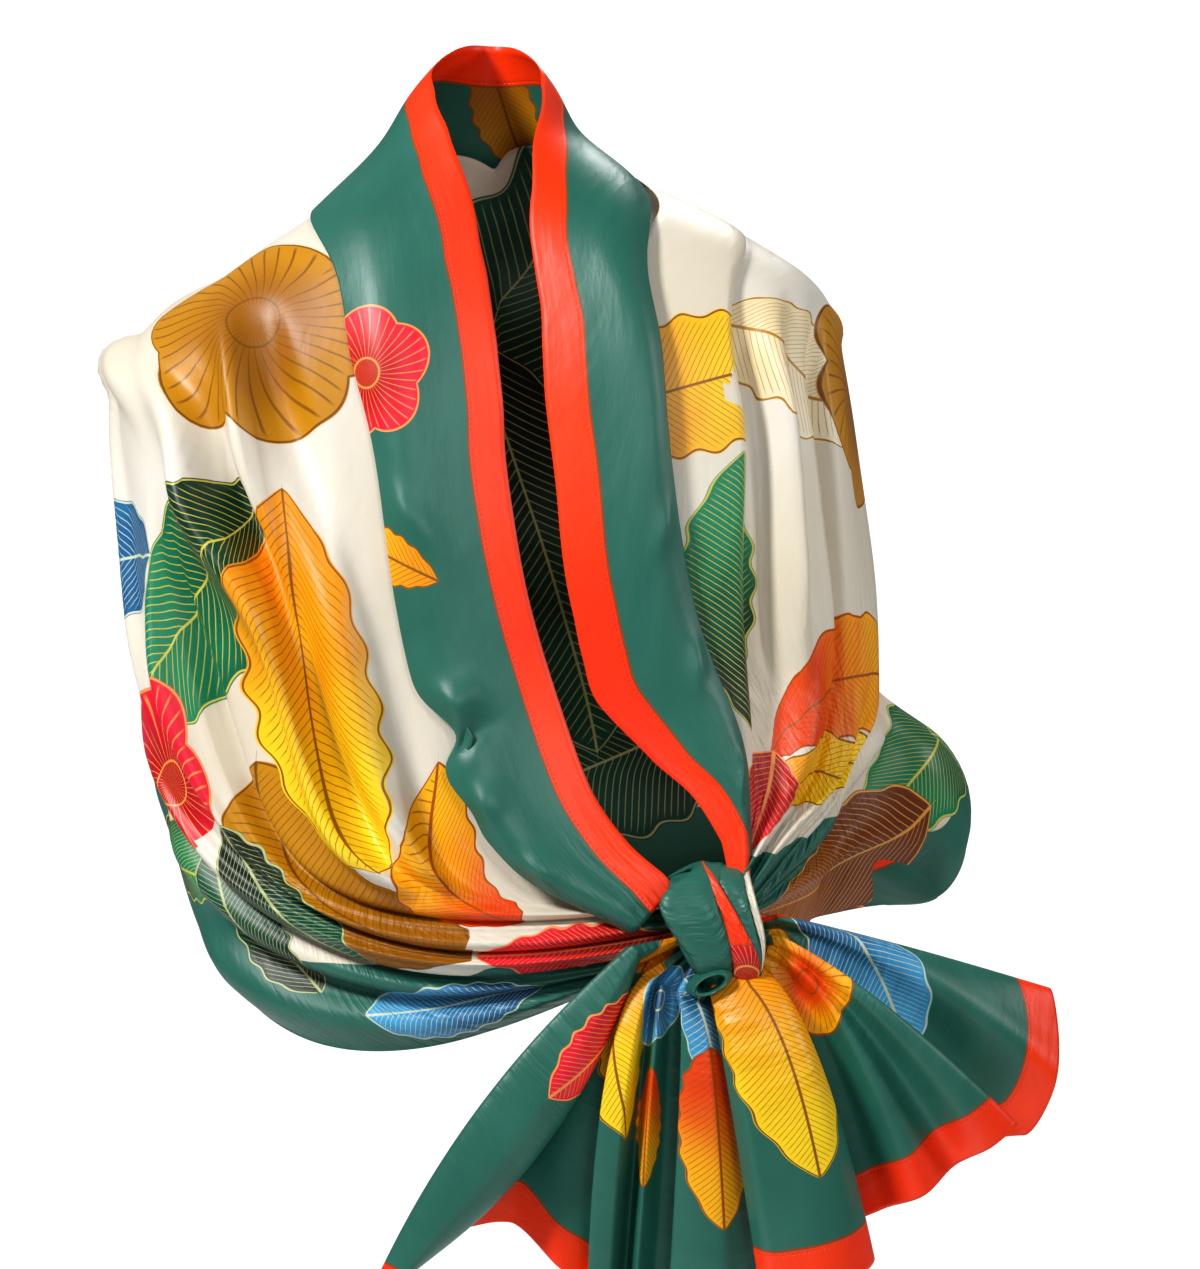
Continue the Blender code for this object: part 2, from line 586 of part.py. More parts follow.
drape_right = body(
    "drape_right", front_start, RIGHT_DRAPE_END, FRONT_STEPS, DRAPE_ROWS, PLEAT_INNER, DRAPE_OUTER
)
sling_right = body("sling_right", front_start, 1, FRONT_STEPS, SLING_ROWS, first=SLING_INNER)
knot_wrap = wrap("knot_wrap", 26, 9)
knot_core = core("knot_core", 20)
tail_right = tail("tail_right", TAIL_RIGHT, TAIL_STEPS, 3)
tail_left = tail("tail_left", TAIL_LEFT, TAIL_STEPS, 3)

for piece in (back_panel, drape_left, drape_right):
    give_material(piece, CREAM, SATIN)
for piece in (collar_back, lapel_left, lapel_right, pleat_right, sling_left, knot_core):
    give_material(piece, GREEN, SATIN)
for piece in (knot_wrap, tail_left, tail_right):
    give_material(piece, GREEN, SATIN)
give_material(sling_right, GOLD, SATIN)
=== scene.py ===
import bpy
import numpy as np
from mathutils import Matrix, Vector


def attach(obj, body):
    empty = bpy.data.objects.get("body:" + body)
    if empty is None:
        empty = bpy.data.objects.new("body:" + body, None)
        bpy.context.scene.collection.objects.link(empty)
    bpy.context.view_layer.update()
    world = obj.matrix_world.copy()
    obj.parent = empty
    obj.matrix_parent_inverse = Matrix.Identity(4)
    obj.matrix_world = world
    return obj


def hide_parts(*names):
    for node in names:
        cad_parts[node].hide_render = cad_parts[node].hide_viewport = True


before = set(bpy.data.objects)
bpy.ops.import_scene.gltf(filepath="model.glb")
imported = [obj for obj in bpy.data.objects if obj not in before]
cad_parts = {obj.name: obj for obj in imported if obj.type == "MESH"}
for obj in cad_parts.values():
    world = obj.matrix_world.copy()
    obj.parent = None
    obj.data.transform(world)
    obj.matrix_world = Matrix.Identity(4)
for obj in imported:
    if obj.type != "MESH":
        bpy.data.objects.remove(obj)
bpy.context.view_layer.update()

# ---------------------------------------------------------------- the body cloth
# The middle of the scarf: down the back, over both shoulders and arms, and drawn in to the
# knot. One printed satin rectangle, 1.80 m by 0.90 m, folded up inside itself above the hem.
# Tables are in millimetres and degrees.

MM = 0.001
CLOTH_THICKNESS = 0.0006
TOP_LINE = 340.0  # lines of the cloth are named by their distance from its front edge
LOWEST_LINE = 866.0
HEM_LINE = 900.0
HALF_RUN = 600.0  # about how far the cloth goes from the spine to the knot

FIGURE = np.array((  # z, left, right, front, back, square: the levels that the cloth lies on
    (104, 13, 13, 8, 45, 2.0),
    (86, 31, 31, 22, 51, 2.0),
    (62, 50, 47, 36, 57, 2.0),
    (38, 62, 60, 48, 63, 2.0),
    (14, 80, 92, 60, 70, 2.1),
    (-10, 110, 136, 72, 79, 2.2),
    (-35, 147, 182, 82, 87, 2.3),
    (-60, 184, 206, 91, 93, 2.4),
    (-90, 217, 214, 100, 99, 2.5),
    (-130, 224, 221, 108, 104, 2.6),
    (-200, 216, 229, 121, 109, 2.6),
    (-280, 211, 235, 130, 107, 2.6),
    (-350, 204, 231, 135, 103, 2.5),
    (-420, 190, 214, 138, 99, 2.5),
    (-480, 168, 188, 138, 96, 2.4),
    (-560, 130, 150, 136, 94, 2.4),
)[::-1], float)

# Each line of the cloth, from the spine to the knot: its distance from the front edge, its
# height at the side, pairs of places on the front, and how far it stands off the figure.
LINE_COLUMNS = (
    "cloth", "side_z",
    "top_x", "top_z", "chest_x", "chest_z", "waist_x", "waist_z",
    "turn_x", "turn_z", "run_x", "run_z",
    "side_lift", "front_lift",
)
PLACES = ("top", "chest", "waist", "turn", "run")
BODY_LEFT = (
    (340, 12, -70, -30, -56, -90, -32, -200, -12, -290, 28, -364, 0, 1),
    (375, -9, -93, -37, -76, -97, -54, -206, -32, -298, 6, -381, 1, 2),
    (390, -17, -105, -42, -88, -102, -66, -211, -43, -306, -2, -388, 1, 2),
    (405, -24, -120, -49, -105, -111, -83, -221, -60, -321, -8, -394, 1, 3),
    (430, -36, -141, -64, -131, -134, -109, -234, -80, -344, -15, -401, 1, 4),
    (475, -60, -176, -100, -160, -168, -128, -256, -97, -366, -28, -410, 2, 6),
    (530, -88, -206, -125, -190, -195, -170, -286, -128, -380, -40, -420, 2, 8),
    (635, -200, -211, -235, -200, -285, -182, -335, -137, -391, -46, -433, 3, 9),
    (725, -292, -207, -313, -200, -334, -187, -356, -147, -404, -49, -443, 5, 9),
    (740, -303, -206, -320, -198, -342, -185, -363, -144, -409, -48, -448, 3, 3.5),
    (765, -318, -206, -312, -199, -328, -186, -347, -145, -392, -47, -437, 0, -3),
    (820, -354, -204, -366, -193, -388, -172, -415, -134, -443, -46, -464, -1, -2),
    (866, -392, -188, -434, -171, -456, -147, -480, -101, -500, -21, -494, -2, -2),
    (900, -398, -184, -406, -170, -428, -146, -452, -100, -472, -20, -466, -6, -16),
)
BODY_RIGHT = (
    (340, 16, 86, -28, 84, -84, 92, -190, 112, -276, 134, -330, 0, 4),
    (375, -10, 143, -43, 144, -108, 146, -198, 149, -278, 152, -333, 3, 10),
    (390, -16, 148, -47, 149, -111, 151, -201, 154, -281, 156, -336, 2, 4.5),
    (405, -20, 137, -44, 136, -108, 138, -198, 143, -279, 158, -338, 0, -1),
    (430, -28, 162, -52, 160, -116, 161, -207, 162, -287, 162, -341, 0, 1),
    (475, -44, 188, -74, 184, -140, 182, -222, 178, -298, 170, -347, 1, 3),
    (530, -64, 206, -104, 206, -170, 206, -246, 199, -313, 180, -354, 2, 5),
    (635, -165, 222, -190, 224, -232, 220, -286, 206, -334, 184, -363, 3, 7),
    (725, -268, 233, -280, 230, -296, 224, -317, 212, -341, 193, -367, 5, 9),
    (740, -282, 233, -288, 230, -303, 224, -323, 212, -347, 193, -371, 3, 3.5),
    (765, -289, 232, -284, 230, -293, 224, -311, 211, -335, 192, -365, 0, -3),
    (820, -322, 231, -326, 226, -344, 218, -364, 206, -382, 190, -393, -1, -2),
    (866, -370, 223, -404, 215, -418, 206, -430, 196, -435, 184, -431, -2, -2),
    (900, -384, 221, -380, 213, -394, 205, -406, 195, -411, 184, -408, -6, -18),
)
SPINE_TOP, SPINE_FALL = 22.0, 0.93  # height of the top line at the spine, fall for each mm below it

# Where the cloth enters the knot: x, z, half height, lift at its edges, and more in the middle.
# It wraps a half circle, from the start and through the sweep given in degrees, and the hem is
# drawn up and in.
BUNDLE_LEFT = (114, -421.5, 20, 0, 24)
BUNDLE_RIGHT = (152, -399, 20, 24, 22)
BUNDLE_START, BUNDLE_SWEEP = 10, 160
HEM_DRAWN_UP, HEM_DRAWN_IN = 16, 12
FACES_FRONT = (0.78, 0.95)  # between these shares of the way to the knot, lifts turn forwards

# The folds. Each crest runs through three places, given as a share of the way along the cloth
# and a distance from the front edge. lean is how much steeper the side towards the hem is, or
# the other side where it is below 0. A trough has a negative height.
FOLDS = (  # side, start, cloth, middle, cloth, end, cloth, half_width, lean, height
    (-1, 0.32, 514, 0.58, 458, 0.84, 456, 12, -0.30, 32),
    (-1, 0.32, 446, 0.50, 438, 0.70, 430, 8, -0.30, 18),
    (-1, 0.44, 418, 0.65, 406, 0.86, 446, 12, -0.30, 24),
    (-1, 0.36, 424, 0.48, 414, 0.60, 398, 9, 0.00, -13),
    (-1, 0.36, 482, 0.56, 438, 0.78, 426, 8, 0.00, -19),
    (-1, 0.52, 378, 0.68, 390, 0.82, 420, 8, 0.00, -9),
    (-1, 0.40, 548, 0.62, 572, 0.80, 584, 20, -0.30, 20),
    (-1, 0.42, 520, 0.65, 520, 0.84, 518, 9, 0.00, -18),
    (-1, 0.66, 478, 0.80, 474, 1.15, 474, 20, -0.20, 13),
    (-1, 0.66, 516, 0.80, 514, 1.15, 512, 9, 0.00, -11),
    (-1, 0.62, 582, 0.80, 580, 1.15, 575, 28, -0.20, 14),
    (-1, 0.58, 640, 0.80, 632, 1.15, 630, 10, 0.00, -11),
    (-1, 0.46, 704, 0.70, 694, 1.15, 686, 22, -0.30, 14),
    (-1, 0.16, 470, 0.36, 600, 0.56, 650, 14, -0.20, 8),
    (-1, 0.10, 560, 0.26, 540, 0.42, 520, 12, -0.20, 8),
    (1, 0.50, 440, 0.66, 464, 0.82, 486, 15, 0.30, 17),
    (1, 0.48, 484, 0.62, 520, 0.80, 556, 10, 0.00, -16),
    (1, 0.54, 428, 0.68, 436, 0.84, 450, 8, 0.00, -9),
    (1, 0.72, 492, 0.88, 500, 1.15, 500, 24, 0.20, 14),
    (1, 0.68, 552, 0.88, 556, 1.15, 560, 13, 0.00, -12),
    (1, 0.66, 640, 0.86, 636, 1.15, 640, 32, 0.20, 16),
    (1, 0.66, 712, 0.86, 706, 1.15, 700, 12, 0.00, -9),
    (1, 0.12, 640, 0.32, 570, 0.48, 540, 13, 0.20, 7),
    (-1, 0.40, 812, 0.70, 806, 1.10, 830, 9, -0.30, 10),
    (-1, 0.42, 850, 0.70, 840, 1.15, 852, 10, -0.30, 10),
    (-1, 0.50, 828, 0.76, 824, 1.10, 842, 6, 0.00, -7),
    (1, 0.50, 806, 0.70, 800, 1.10, 812, 9, 0.30, 10),
    (1, 0.50, 850, 0.70, 832, 1.10, 836, 8, 0.30, 10),
    (1, 0.60, 820, 0.76, 818, 1.10, 822, 6, 0.00, -7),
    (-1, -0.10, 520, 0.14, 510, 0.34, 480, 30, 0.10, 10),
    (-1, -0.10, 700, 0.14, 716, 0.34, 730, 36, 0.10, 11),
    (-1, 0.02, 600, 0.20, 570, 0.40, 520, 13, 0.20, 8),
    (1, -0.10, 450, 0.14, 440, 0.32, 420, 30, 0.10, 9),
    (1, -0.10, 620, 0.14, 610, 0.30, 590, 36, 0.10, 11),
    (1, 0.03, 520, 0.18, 546, 0.34, 580, 13, 0.20, 8),
    (1, -0.10, 810, 0.14, 816, 0.32, 824, 36, 0.10, 9),
    (-1, 0.05, 840, 0.22, 830, 0.40, 812, 28, 0.10, 8),
)
FOLD_EDGE = 2.4  # above 2, a fold is flatter on top and steeper at its sides than a bell
FOLD_RUN_IN = 0.14
ROOM_FOR_FOLDS = 0.55  # how far apart lines 1 mm apart in the cloth lie where folds are full
ROOM_NEAR_KNOT = (0.6, 0.8)
LAPEL_REACH = (384.0, 414.0)  # between these lines folds grow from under the lapel
RIPPLE_HEIGHT = 0.9

# The right sling bulges: how far, its place along the cloth and its reach there, and the lines
# between which it rises and falls.
PUFF_HEIGHT, PUFF_PLACE, PUFF_REACH = 74.0, 0.47, 0.18
PUFF_RISE, PUFF_FALL = (784.0, 852.0), (866.0, 900.0)


def spline(knots, values, at):
    """Natural cubic spline through values, whose first axis follows knots, read at places."""
    x, y, at = (np.asarray(a, float) for a in (knots, values, at))
    step, count = np.diff(x), len(x)
    slope = np.diff(y, axis=0) / step.reshape(-1, *[1] * (y.ndim - 1))
    system, pull = np.eye(count), np.zeros_like(y)
    for i in range(1, count - 1):
        system[i, i - 1 : i + 2] = step[i - 1], 2 * (step[i - 1] + step[i]), step[i]
        pull[i] = 6 * (slope[i] - slope[i - 1])
    bend = np.linalg.solve(system, pull.reshape(count, -1)).reshape(y.shape)
    i = np.clip(np.searchsorted(x, at) - 1, 0, count - 2)
    fit = at.shape + (1,) * (y.ndim - 1)
    w, a, b = step[i].reshape(fit), (x[i + 1] - at).reshape(fit), (at - x[i]).reshape(fit)
    curved = (bend[i] * a**3 + bend[i + 1] * b**3) / (6 * w)
    return curved + (y[i] / w - bend[i] * w / 6) * a + (y[i + 1] / w - bend[i + 1] * w / 6) * b


def steady(knots, values, at):
    """Smooth curve through values that never swings past them: its slopes at the knots are the
    harmonic means of the slopes on both sides, or level at a turning point."""
    x, y = np.asarray(knots, float), np.asarray(values, float)
    at = np.clip(np.asarray(at, float), x[0], x[-1])
    step = np.diff(x).reshape(-1, *[1] * (y.ndim - 1))
    slope = np.diff(y, axis=0) / step
    before, after = slope[:-1], slope[1:]
    same_way = before * after > 0
    inner = np.where(same_way, 2 * before * after / np.where(same_way, before + after, 1), 0)
    tangent = np.concatenate([slope[:1], inner, slope[-1:]])
    i = np.clip(np.searchsorted(x, at) - 1, 0, len(x) - 2)
    t = ((at - x[i]) / np.diff(x)[i]).reshape(at.shape + (1,) * (y.ndim - 1))
    rise = y[i + 1] - y[i]
    bend_in, bend_out = (tangent[i] * step[i] - rise) * (1 - t), (rise - tangent[i + 1] * step[i]) * t
    return y[i] + t * rise + t * (1 - t) * (bend_in + bend_out)


def ease(x, low, high):
    """0 below low, 1 above high, and a smooth step between them."""
    t = np.clip((np.asarray(x, float) - low) / (high - low), 0, 1)
    return t * t * (3 - 2 * t)


def unit(vectors):
    """Vectors of length 1."""
    return vectors / np.maximum(np.linalg.norm(vectors, axis=-1, keepdims=True), 1e-9)


def on_figure(degrees, z):
    """A point on the figure: each level is a rounded rectangle, cut by the ray at that angle
    from the spine where |s|^n + |c|^n = 1. Angles grow to the left and fall to the right."""
    level = spline(FIGURE[:, 0], FIGURE[:, 1:], np.clip(z, FIGURE[0, 0], FIGURE[-1, 0]))
    left, right, front, back, square = np.moveaxis(level, -1, 0)
    s, c = np.sin(np.radians(degrees)), np.cos(np.radians(degrees))
    reach = (np.abs(s) ** square + np.abs(c) ** square) ** (-1 / square)
    x = -np.where(s > 0, left, right) * s * reach
    y = np.where(c > 0, back, front) * c * reach
    return np.stack([x, y, z + 0 * x], axis=-1)


def front_degrees(x, z):
    """The angle at which the front of the figure passes x at height z; 180 is the middle."""
    left, right, _, _, square = spline(FIGURE[:, 0], FIGURE[:, 1:], z)
    share = np.clip(x / (left if x < 0 else right), -0.995, 0.995)
    return 180 + float(np.degrees(np.arctan2(share, (1 - abs(share) ** square) ** (1 / square))))


def bundle_end(cloth, side):
    """Where a line of the body enters the knot, and its lift: round a flattened half circle,
    with the hem drawn up inside it."""
    x, z, half_height, edge_lift, depth = BUNDLE_LEFT if side < 0 else BUNDLE_RIGHT
    share = min((cloth - TOP_LINE) / (LOWEST_LINE - TOP_LINE), 1)
    turn = np.radians(BUNDLE_START + BUNDLE_SWEEP * share)
    inside = max(cloth - LOWEST_LINE, 0) / (HEM_LINE - LOWEST_LINE)
    lift = edge_lift + depth * np.sin(turn) - HEM_DRAWN_IN * inside
    return x, z + half_height * np.cos(turn) + HEM_DRAWN_UP * inside, lift


def half_line(row, back_z, knot_end, side):
    """Angle, height and lift of one line at its places, from the spine to the knot."""
    r = dict(zip(LINE_COLUMNS, row))
    knot_x, knot_z, knot_lift = knot_end(r["cloth"], side)
    places = [(r[place + "_x"], r[place + "_z"]) for place in PLACES] + [(knot_x, knot_z)]
    degrees = [0.0, -90.0 * side] + [front_degrees(x, z) - 180 * (1 + side) for x, z in places]
    heights = [back_z(r["cloth"]), r["side_z"]] + [z for x, z in places]
    side_lift, front = r["side_lift"], r["front_lift"]
    near_knot = (front + knot_lift) / 2
    lifts = [0, side_lift, (side_lift + front) / 2, front, front, front, near_knot, knot_lift]
    return np.array([degrees, heights, lifts]).T


def sheet(left_table, right_table, back_z, knot_end, extra_lift, along, across):
    """Points of the cloth (metres). along runs from the left knot (-1) past the spine (0) to
    the right knot (1); across gives each point's distance from the front edge (mm). Angle,
    height and lift follow a spline along each line and a steady curve from line to line. The
    point is the figure's at that angle and height, moved out by the lift. room is how far apart
    the lines lie there, up to 1 at ROOM_FOR_FOLDS."""
    halves = []
    for side, table in ((-1, left_table), (1, right_table)):
        lines = np.array([half_line(row, back_z, knot_end, side) for row in table])
        run = np.linalg.norm(np.diff(on_figure(lines[..., 0], lines[..., 1]), axis=1), axis=-1)
        halves.append((lines, np.append(0, np.cumsum(run.mean(axis=0))) / run.mean(axis=0).sum()))
    (left, left_share), (right, right_share) = halves
    places = np.append(-left_share[:0:-1], right_share)
    both = np.concatenate([left[:, :0:-1], right], axis=1)
    cloth = [row[0] for row in left_table]

    def on_lines(along, across):
        lines = np.swapaxes(spline(places, np.swapaxes(both, 0, 1), along), 0, 1)
        columns = [steady(cloth, c, at) for c, at in zip(np.swapaxes(lines, 0, 1), across.T)]
        return np.moveaxis(np.stack(columns, axis=1), -1, 0)

    degrees, z, lift = on_lines(along, across)
    bare = on_figure(degrees, z)
    ahead = on_figure(*on_lines(along + 0.002, across)[:2]) - bare
    below = on_figure(*on_lines(along, across + 1)[:2]) - bare
    area = np.linalg.norm(np.cross(ahead, below), axis=-1)
    room = np.clip(area / np.linalg.norm(ahead, axis=-1) / ROOM_FOR_FOLDS, 0, 1)
    toward_knot = ease(np.abs(along), *FACES_FRONT)[:, None]
    off = unit(np.cross(
        on_figure(degrees + 0.5, z) - on_figure(degrees - 0.5, z),
        on_figure(degrees, z + 0.5) - on_figure(degrees, z - 0.5),
    ))
    out = unit(off * (1 - toward_knot) + np.array([0, -1, 0]) * toward_knot)
    lift = lift + extra_lift(np.abs(along), across, np.sign(along), room)
    return (bare + lift[..., None] * out) * MM


def ripple(along, across, height):
    """Shallow uneven waves: three crossed sines, none a multiple of another."""
    a, b = along * HALF_RUN, across
    waves = np.sin(a / 31 + b / 47 + 0.6) * np.sin(b / 26 - a / 83) + 0.6 * np.sin(a / 57 - b / 19)
    return height * waves


def body_lift(along, across, side, room):
    """The folds, the puff of the right sling and the ripples. A fold is as high as its row says
    where the cloth is spread, and lower where its lines crowd together or lie under a lapel."""
    room = np.maximum(room, 0.5 * ease(along, *ROOM_NEAR_KNOT))
    room = room * (0.1 + 0.9 * ease(across, *LAPEL_REACH))
    lift = ripple(along * side, across, RIPPLE_HEIGHT) * room
    for fold_side, *path, half_width, lean, height in FOLDS:
        place, cloth = path[::2], path[1::2]
        crest = across - spline(place, cloth, np.clip(along, place[0], place[2]))
        leaning = np.where(crest > 0, 1 - lean, 1 + lean)
        profile = np.exp(-(np.abs(crest / half_width / leaning) ** FOLD_EDGE))
        ends = min(FOLD_RUN_IN, (place[2] - place[0]) / 3)
        length = ease(along, place[0], place[0] + ends) * (1 - ease(along, place[2] - ends, place[2]))
        lift = lift + np.where(side == fold_side, height * profile * length * room, 0)
    place = np.exp(-(((along - PUFF_PLACE) / PUFF_REACH) ** 2))
    swell = ease(across, *PUFF_RISE) * (1 - 0.6 * ease(across, *PUFF_FALL))
    return lift + np.where(side > 0, PUFF_HEIGHT * place * swell, 0)


def body_points(along, across):
    """The body cloth; its lines fall evenly down the spine."""
    return sheet(BODY_LEFT, BODY_RIGHT, lambda cloth: SPINE_TOP - (cloth - TOP_LINE) * SPINE_FALL,
                 bundle_end, body_lift, along, across)


def travelled(points, axis):
    """How far each point of a grid lies along its row or column (metres)."""
    step = np.linalg.norm(np.diff(points, axis=axis), axis=-1)
    start = np.zeros_like(step.take([0], axis=axis))
    return np.cumsum(np.concatenate([start, step], axis=axis), axis=axis)


class Grid:
    """A cloth surface as a grid of points: axis 0 goes across the cloth, axis 1 along it. Its
    faces point outwards where along x across does."""

    def __init__(self, points, along, across):
        self.points = points
        self.along, self.across = np.broadcast_arrays(along, across)
        self.along_way, self.across_way = travelled(points, 1), travelled(points, 0)

    def corners(self):
        """The point numbers of each face, one row for each face."""
        number = np.arange(self.points[..., 0].size).reshape(self.points.shape[:2])
        cut = number[:-1, :-1], number[:-1, 1:], number[1:, 1:], number[1:, :-1]
        return np.stack([part.ravel() for part in cut], axis=-1)


# The print. Motifs are of a general kind, broad veined leaves and round blossoms, laid out for
# this cloth. Inks are the colour at a motif's foot, at its tip and of its fine lines.
VEIN_GAP = 3.6
RIM_WIDTH = 0.9
INKS = {
    "ochre": ((0.32, 0.115, 0.002), (0.52, 0.23, 0.004), (0.20, 0.07, 0.002)),
    "yellow": ((0.84, 0.30, 0.003), (0.92, 0.64, 0.015), (0.26, 0.09, 0.002)),
    "emerald": ((0.001, 0.030, 0.016), (0.004, 0.22, 0.10), (0.60, 0.52, 0.08)),
    "deep": ((0.001, 0.014, 0.010), (0.002, 0.085, 0.050), (0.45, 0.48, 0.20)),
    "crimson": ((0.45, 0.001, 0.006), (0.80, 0.008, 0.040), (0.88, 0.32, 0.08)),
    "blue": ((0.008, 0.10, 0.25), (0.05, 0.33, 0.60), (0.55, 0.62, 0.45)),
    "flame": ((0.80, 0.06, 0.002), (0.93, 0.45, 0.006), (0.36, 0.08, 0.002)),
    "brown": ((0.16, 0.032, 0.003), (0.34, 0.09, 0.006), (0.72, 0.36, 0.06)),
    "outline": ((0.80, 0.66, 0.40), (0.84, 0.76, 0.58), (0.42, 0.20, 0.01)),
}
LEAF, BLOSSOM = 0.0, 1.0
LAYERS = ("low", "mid", "high")
MOST_VEINS = 20
LEAF_HALF_WIDTH = 0.50
OVERLAP = 1.04  # a motif claims the faces a little past its own outline


def lay_out(grid, motifs):
    """Local places of every face corner in the motif that covers it, one array for each layer,
    and the faces' inks, whose alphas carry the motif's kind, vein count and line width. From a
    motif's middle a point is reached by going down its column and then along its row; where the
    two aren't square to each other, the sum is put square."""
    faces = grid.corners()
    laid = {}
    for layer in LAYERS:
        place = np.full(faces.shape + (2,), 9.0)
        inks = np.zeros((3, len(faces), 4))
        for name, along, across, radius, turned, kind, ink in motifs:
            if name != layer:
                continue
            miss = np.abs(grid.along - along) + np.abs(grid.across - across) / HALF_RUN
            i, j = np.unravel_index(np.argmin(miss), miss.shape)
            i1, j1 = min(i + 1, miss.shape[0] - 1), min(j + 1, miss.shape[1] - 1)
            run = unit(grid.points[i, j1] - grid.points[i, j1 - 1])
            fall = unit(grid.points[i1, j] - grid.points[i1 - 1, j])
            lean = float(run @ fall)
            down = (grid.across_way[:, j] - grid.across_way[i, j])[:, None]
            aside = grid.along_way - grid.along_way[:, j][:, None]
            x, y = aside + down * lean, down * np.sqrt(1 - lean * lean) + 0 * aside
            s, c = np.sin(np.radians(turned)), np.cos(np.radians(turned))
            local = np.stack([c * x + s * y, s * x - c * y], axis=-1).reshape(-1, 2) / (radius * MM)
            local = local[faces]
            x, y = np.abs(local.mean(axis=1)).T
            in_leaf = (x < LEAF_HALF_WIDTH + 0.1) & (y < OVERLAP)
            near = np.hypot(x, y) < OVERLAP if kind == BLOSSOM else in_leaf
            place[near] = local[near]
            marks = kind, min(radius / VEIN_GAP, MOST_VEINS) / MOST_VEINS, RIM_WIDTH / radius
            for row, colour, mark in zip(inks, INKS[ink], marks):
                row[near] = (*colour, mark)
        laid[layer] = place, inks
    return laid


def add_mesh(name, points, faces):
    """A smooth mesh object from arrays of points and of four-cornered faces."""
    mesh = bpy.data.meshes.new(name)
    mesh.vertices.add(len(points))
    mesh.vertices.foreach_set("co", np.ascontiguousarray(points, np.float32).ravel())
    mesh.loops.add(faces.size)
    mesh.loops.foreach_set("vertex_index", np.ascontiguousarray(faces, np.int32).ravel())
    mesh.polygons.add(len(faces))
    mesh.polygons.foreach_set("loop_start", np.arange(0, faces.size, faces.shape[1], dtype=np.int32))
    mesh.update(calc_edges=True)
    mesh.validate()
    mesh.shade_smooth()
    piece = bpy.data.objects.new(name, mesh)
    bpy.context.scene.collection.objects.link(piece)
    return piece


def add_cloth(name, grids, ground, motifs):
    """A piece of the scarf from one grid or several. For each grid, ground gives the distance to
    the nearest hem in metres and how crumpled the cloth is, point by point, and motifs its rows."""
    points, faces, uv, laid, start = [], [], [], [], 0
    for grid, (to_hem, crumpled), rows in zip(grids, ground, motifs):
        corners = grid.corners()
        points.append(grid.points.reshape(-1, 3))
        faces.append(corners + start)
        start += grid.points[..., 0].size
        flat = np.stack([grid.along_way, grid.across_way], axis=-1).reshape(-1, 2)[corners]
        rim = np.stack(np.broadcast_arrays(to_hem, crumpled, grid.along)[:2], axis=-1)
        rim = rim.reshape(-1, 2)[corners]
        uv.append((flat, rim))
        laid.append(lay_out(grid, rows))
    piece = add_mesh(name, np.concatenate(points), np.concatenate(faces))
    mesh = piece.data

    def write_uv(label, values):
        layer = mesh.uv_layers.new(name=label)
        layer.data.foreach_set("uv", np.ascontiguousarray(values, np.float32).ravel())

    write_uv("flat", np.concatenate([f for f, _ in uv]))
    write_uv("rim", np.concatenate([r for _, r in uv]))
    for layer in LAYERS:
        write_uv(layer, np.concatenate([one[layer][0] for one in laid]))
        for label, part in zip(("foot", "tip", "line"), range(3)):
            inks = np.concatenate([one[layer][1][part] for one in laid])
            attribute = mesh.color_attributes.new(f"{layer}_{label}", "FLOAT_COLOR", "CORNER")
            attribute.data.foreach_set("color", np.repeat(inks, 4, axis=0).astype(np.float32).ravel())
    wall = piece.modifiers.new("thickness", "SOLIDIFY")
    wall.thickness = CLOTH_THICKNESS
    wall.offset = -1
    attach(piece, "root")
    return piece


class Socket:
    """An output of a shader node. Arithmetic on it adds Math nodes."""

    def __init__(self, shader, output):
        self.shader, self.output = shader, output

    def math(self, operation, *others, clamp=False):
        inputs = dict(enumerate((self, *others)))
        return self.shader.node("Math", {"operation": operation, "use_clamp": clamp}, inputs)["Value"]

    def __add__(self, other):
        return self.math("ADD", other)

    def __sub__(self, other):
        return self.math("SUBTRACT", other)

    def __rsub__(self, other):
        return (self * -1.0).math("ADD", other)

    def __mul__(self, other):
        return self.math("MULTIPLY", other)

    def __truediv__(self, other):
        return self.math("DIVIDE", other)

    def __abs__(self):
        return self.math("ABSOLUTE")

    def step(self, low, high):
        """A smooth step from 0 at low to 1 at high."""
        ramp = {"Value": self, "From Min": low, "From Max": high}
        return self.shader.node("MapRange", {"interpolation_type": "SMOOTHSTEP"}, ramp)["Result"]


class Node:
    """A shader node whose outputs are read by name."""

    def __init__(self, shader, made):
        self.shader, self.made = shader, made

    def __getitem__(self, name):
        return Socket(self.shader, self.made.outputs[name])


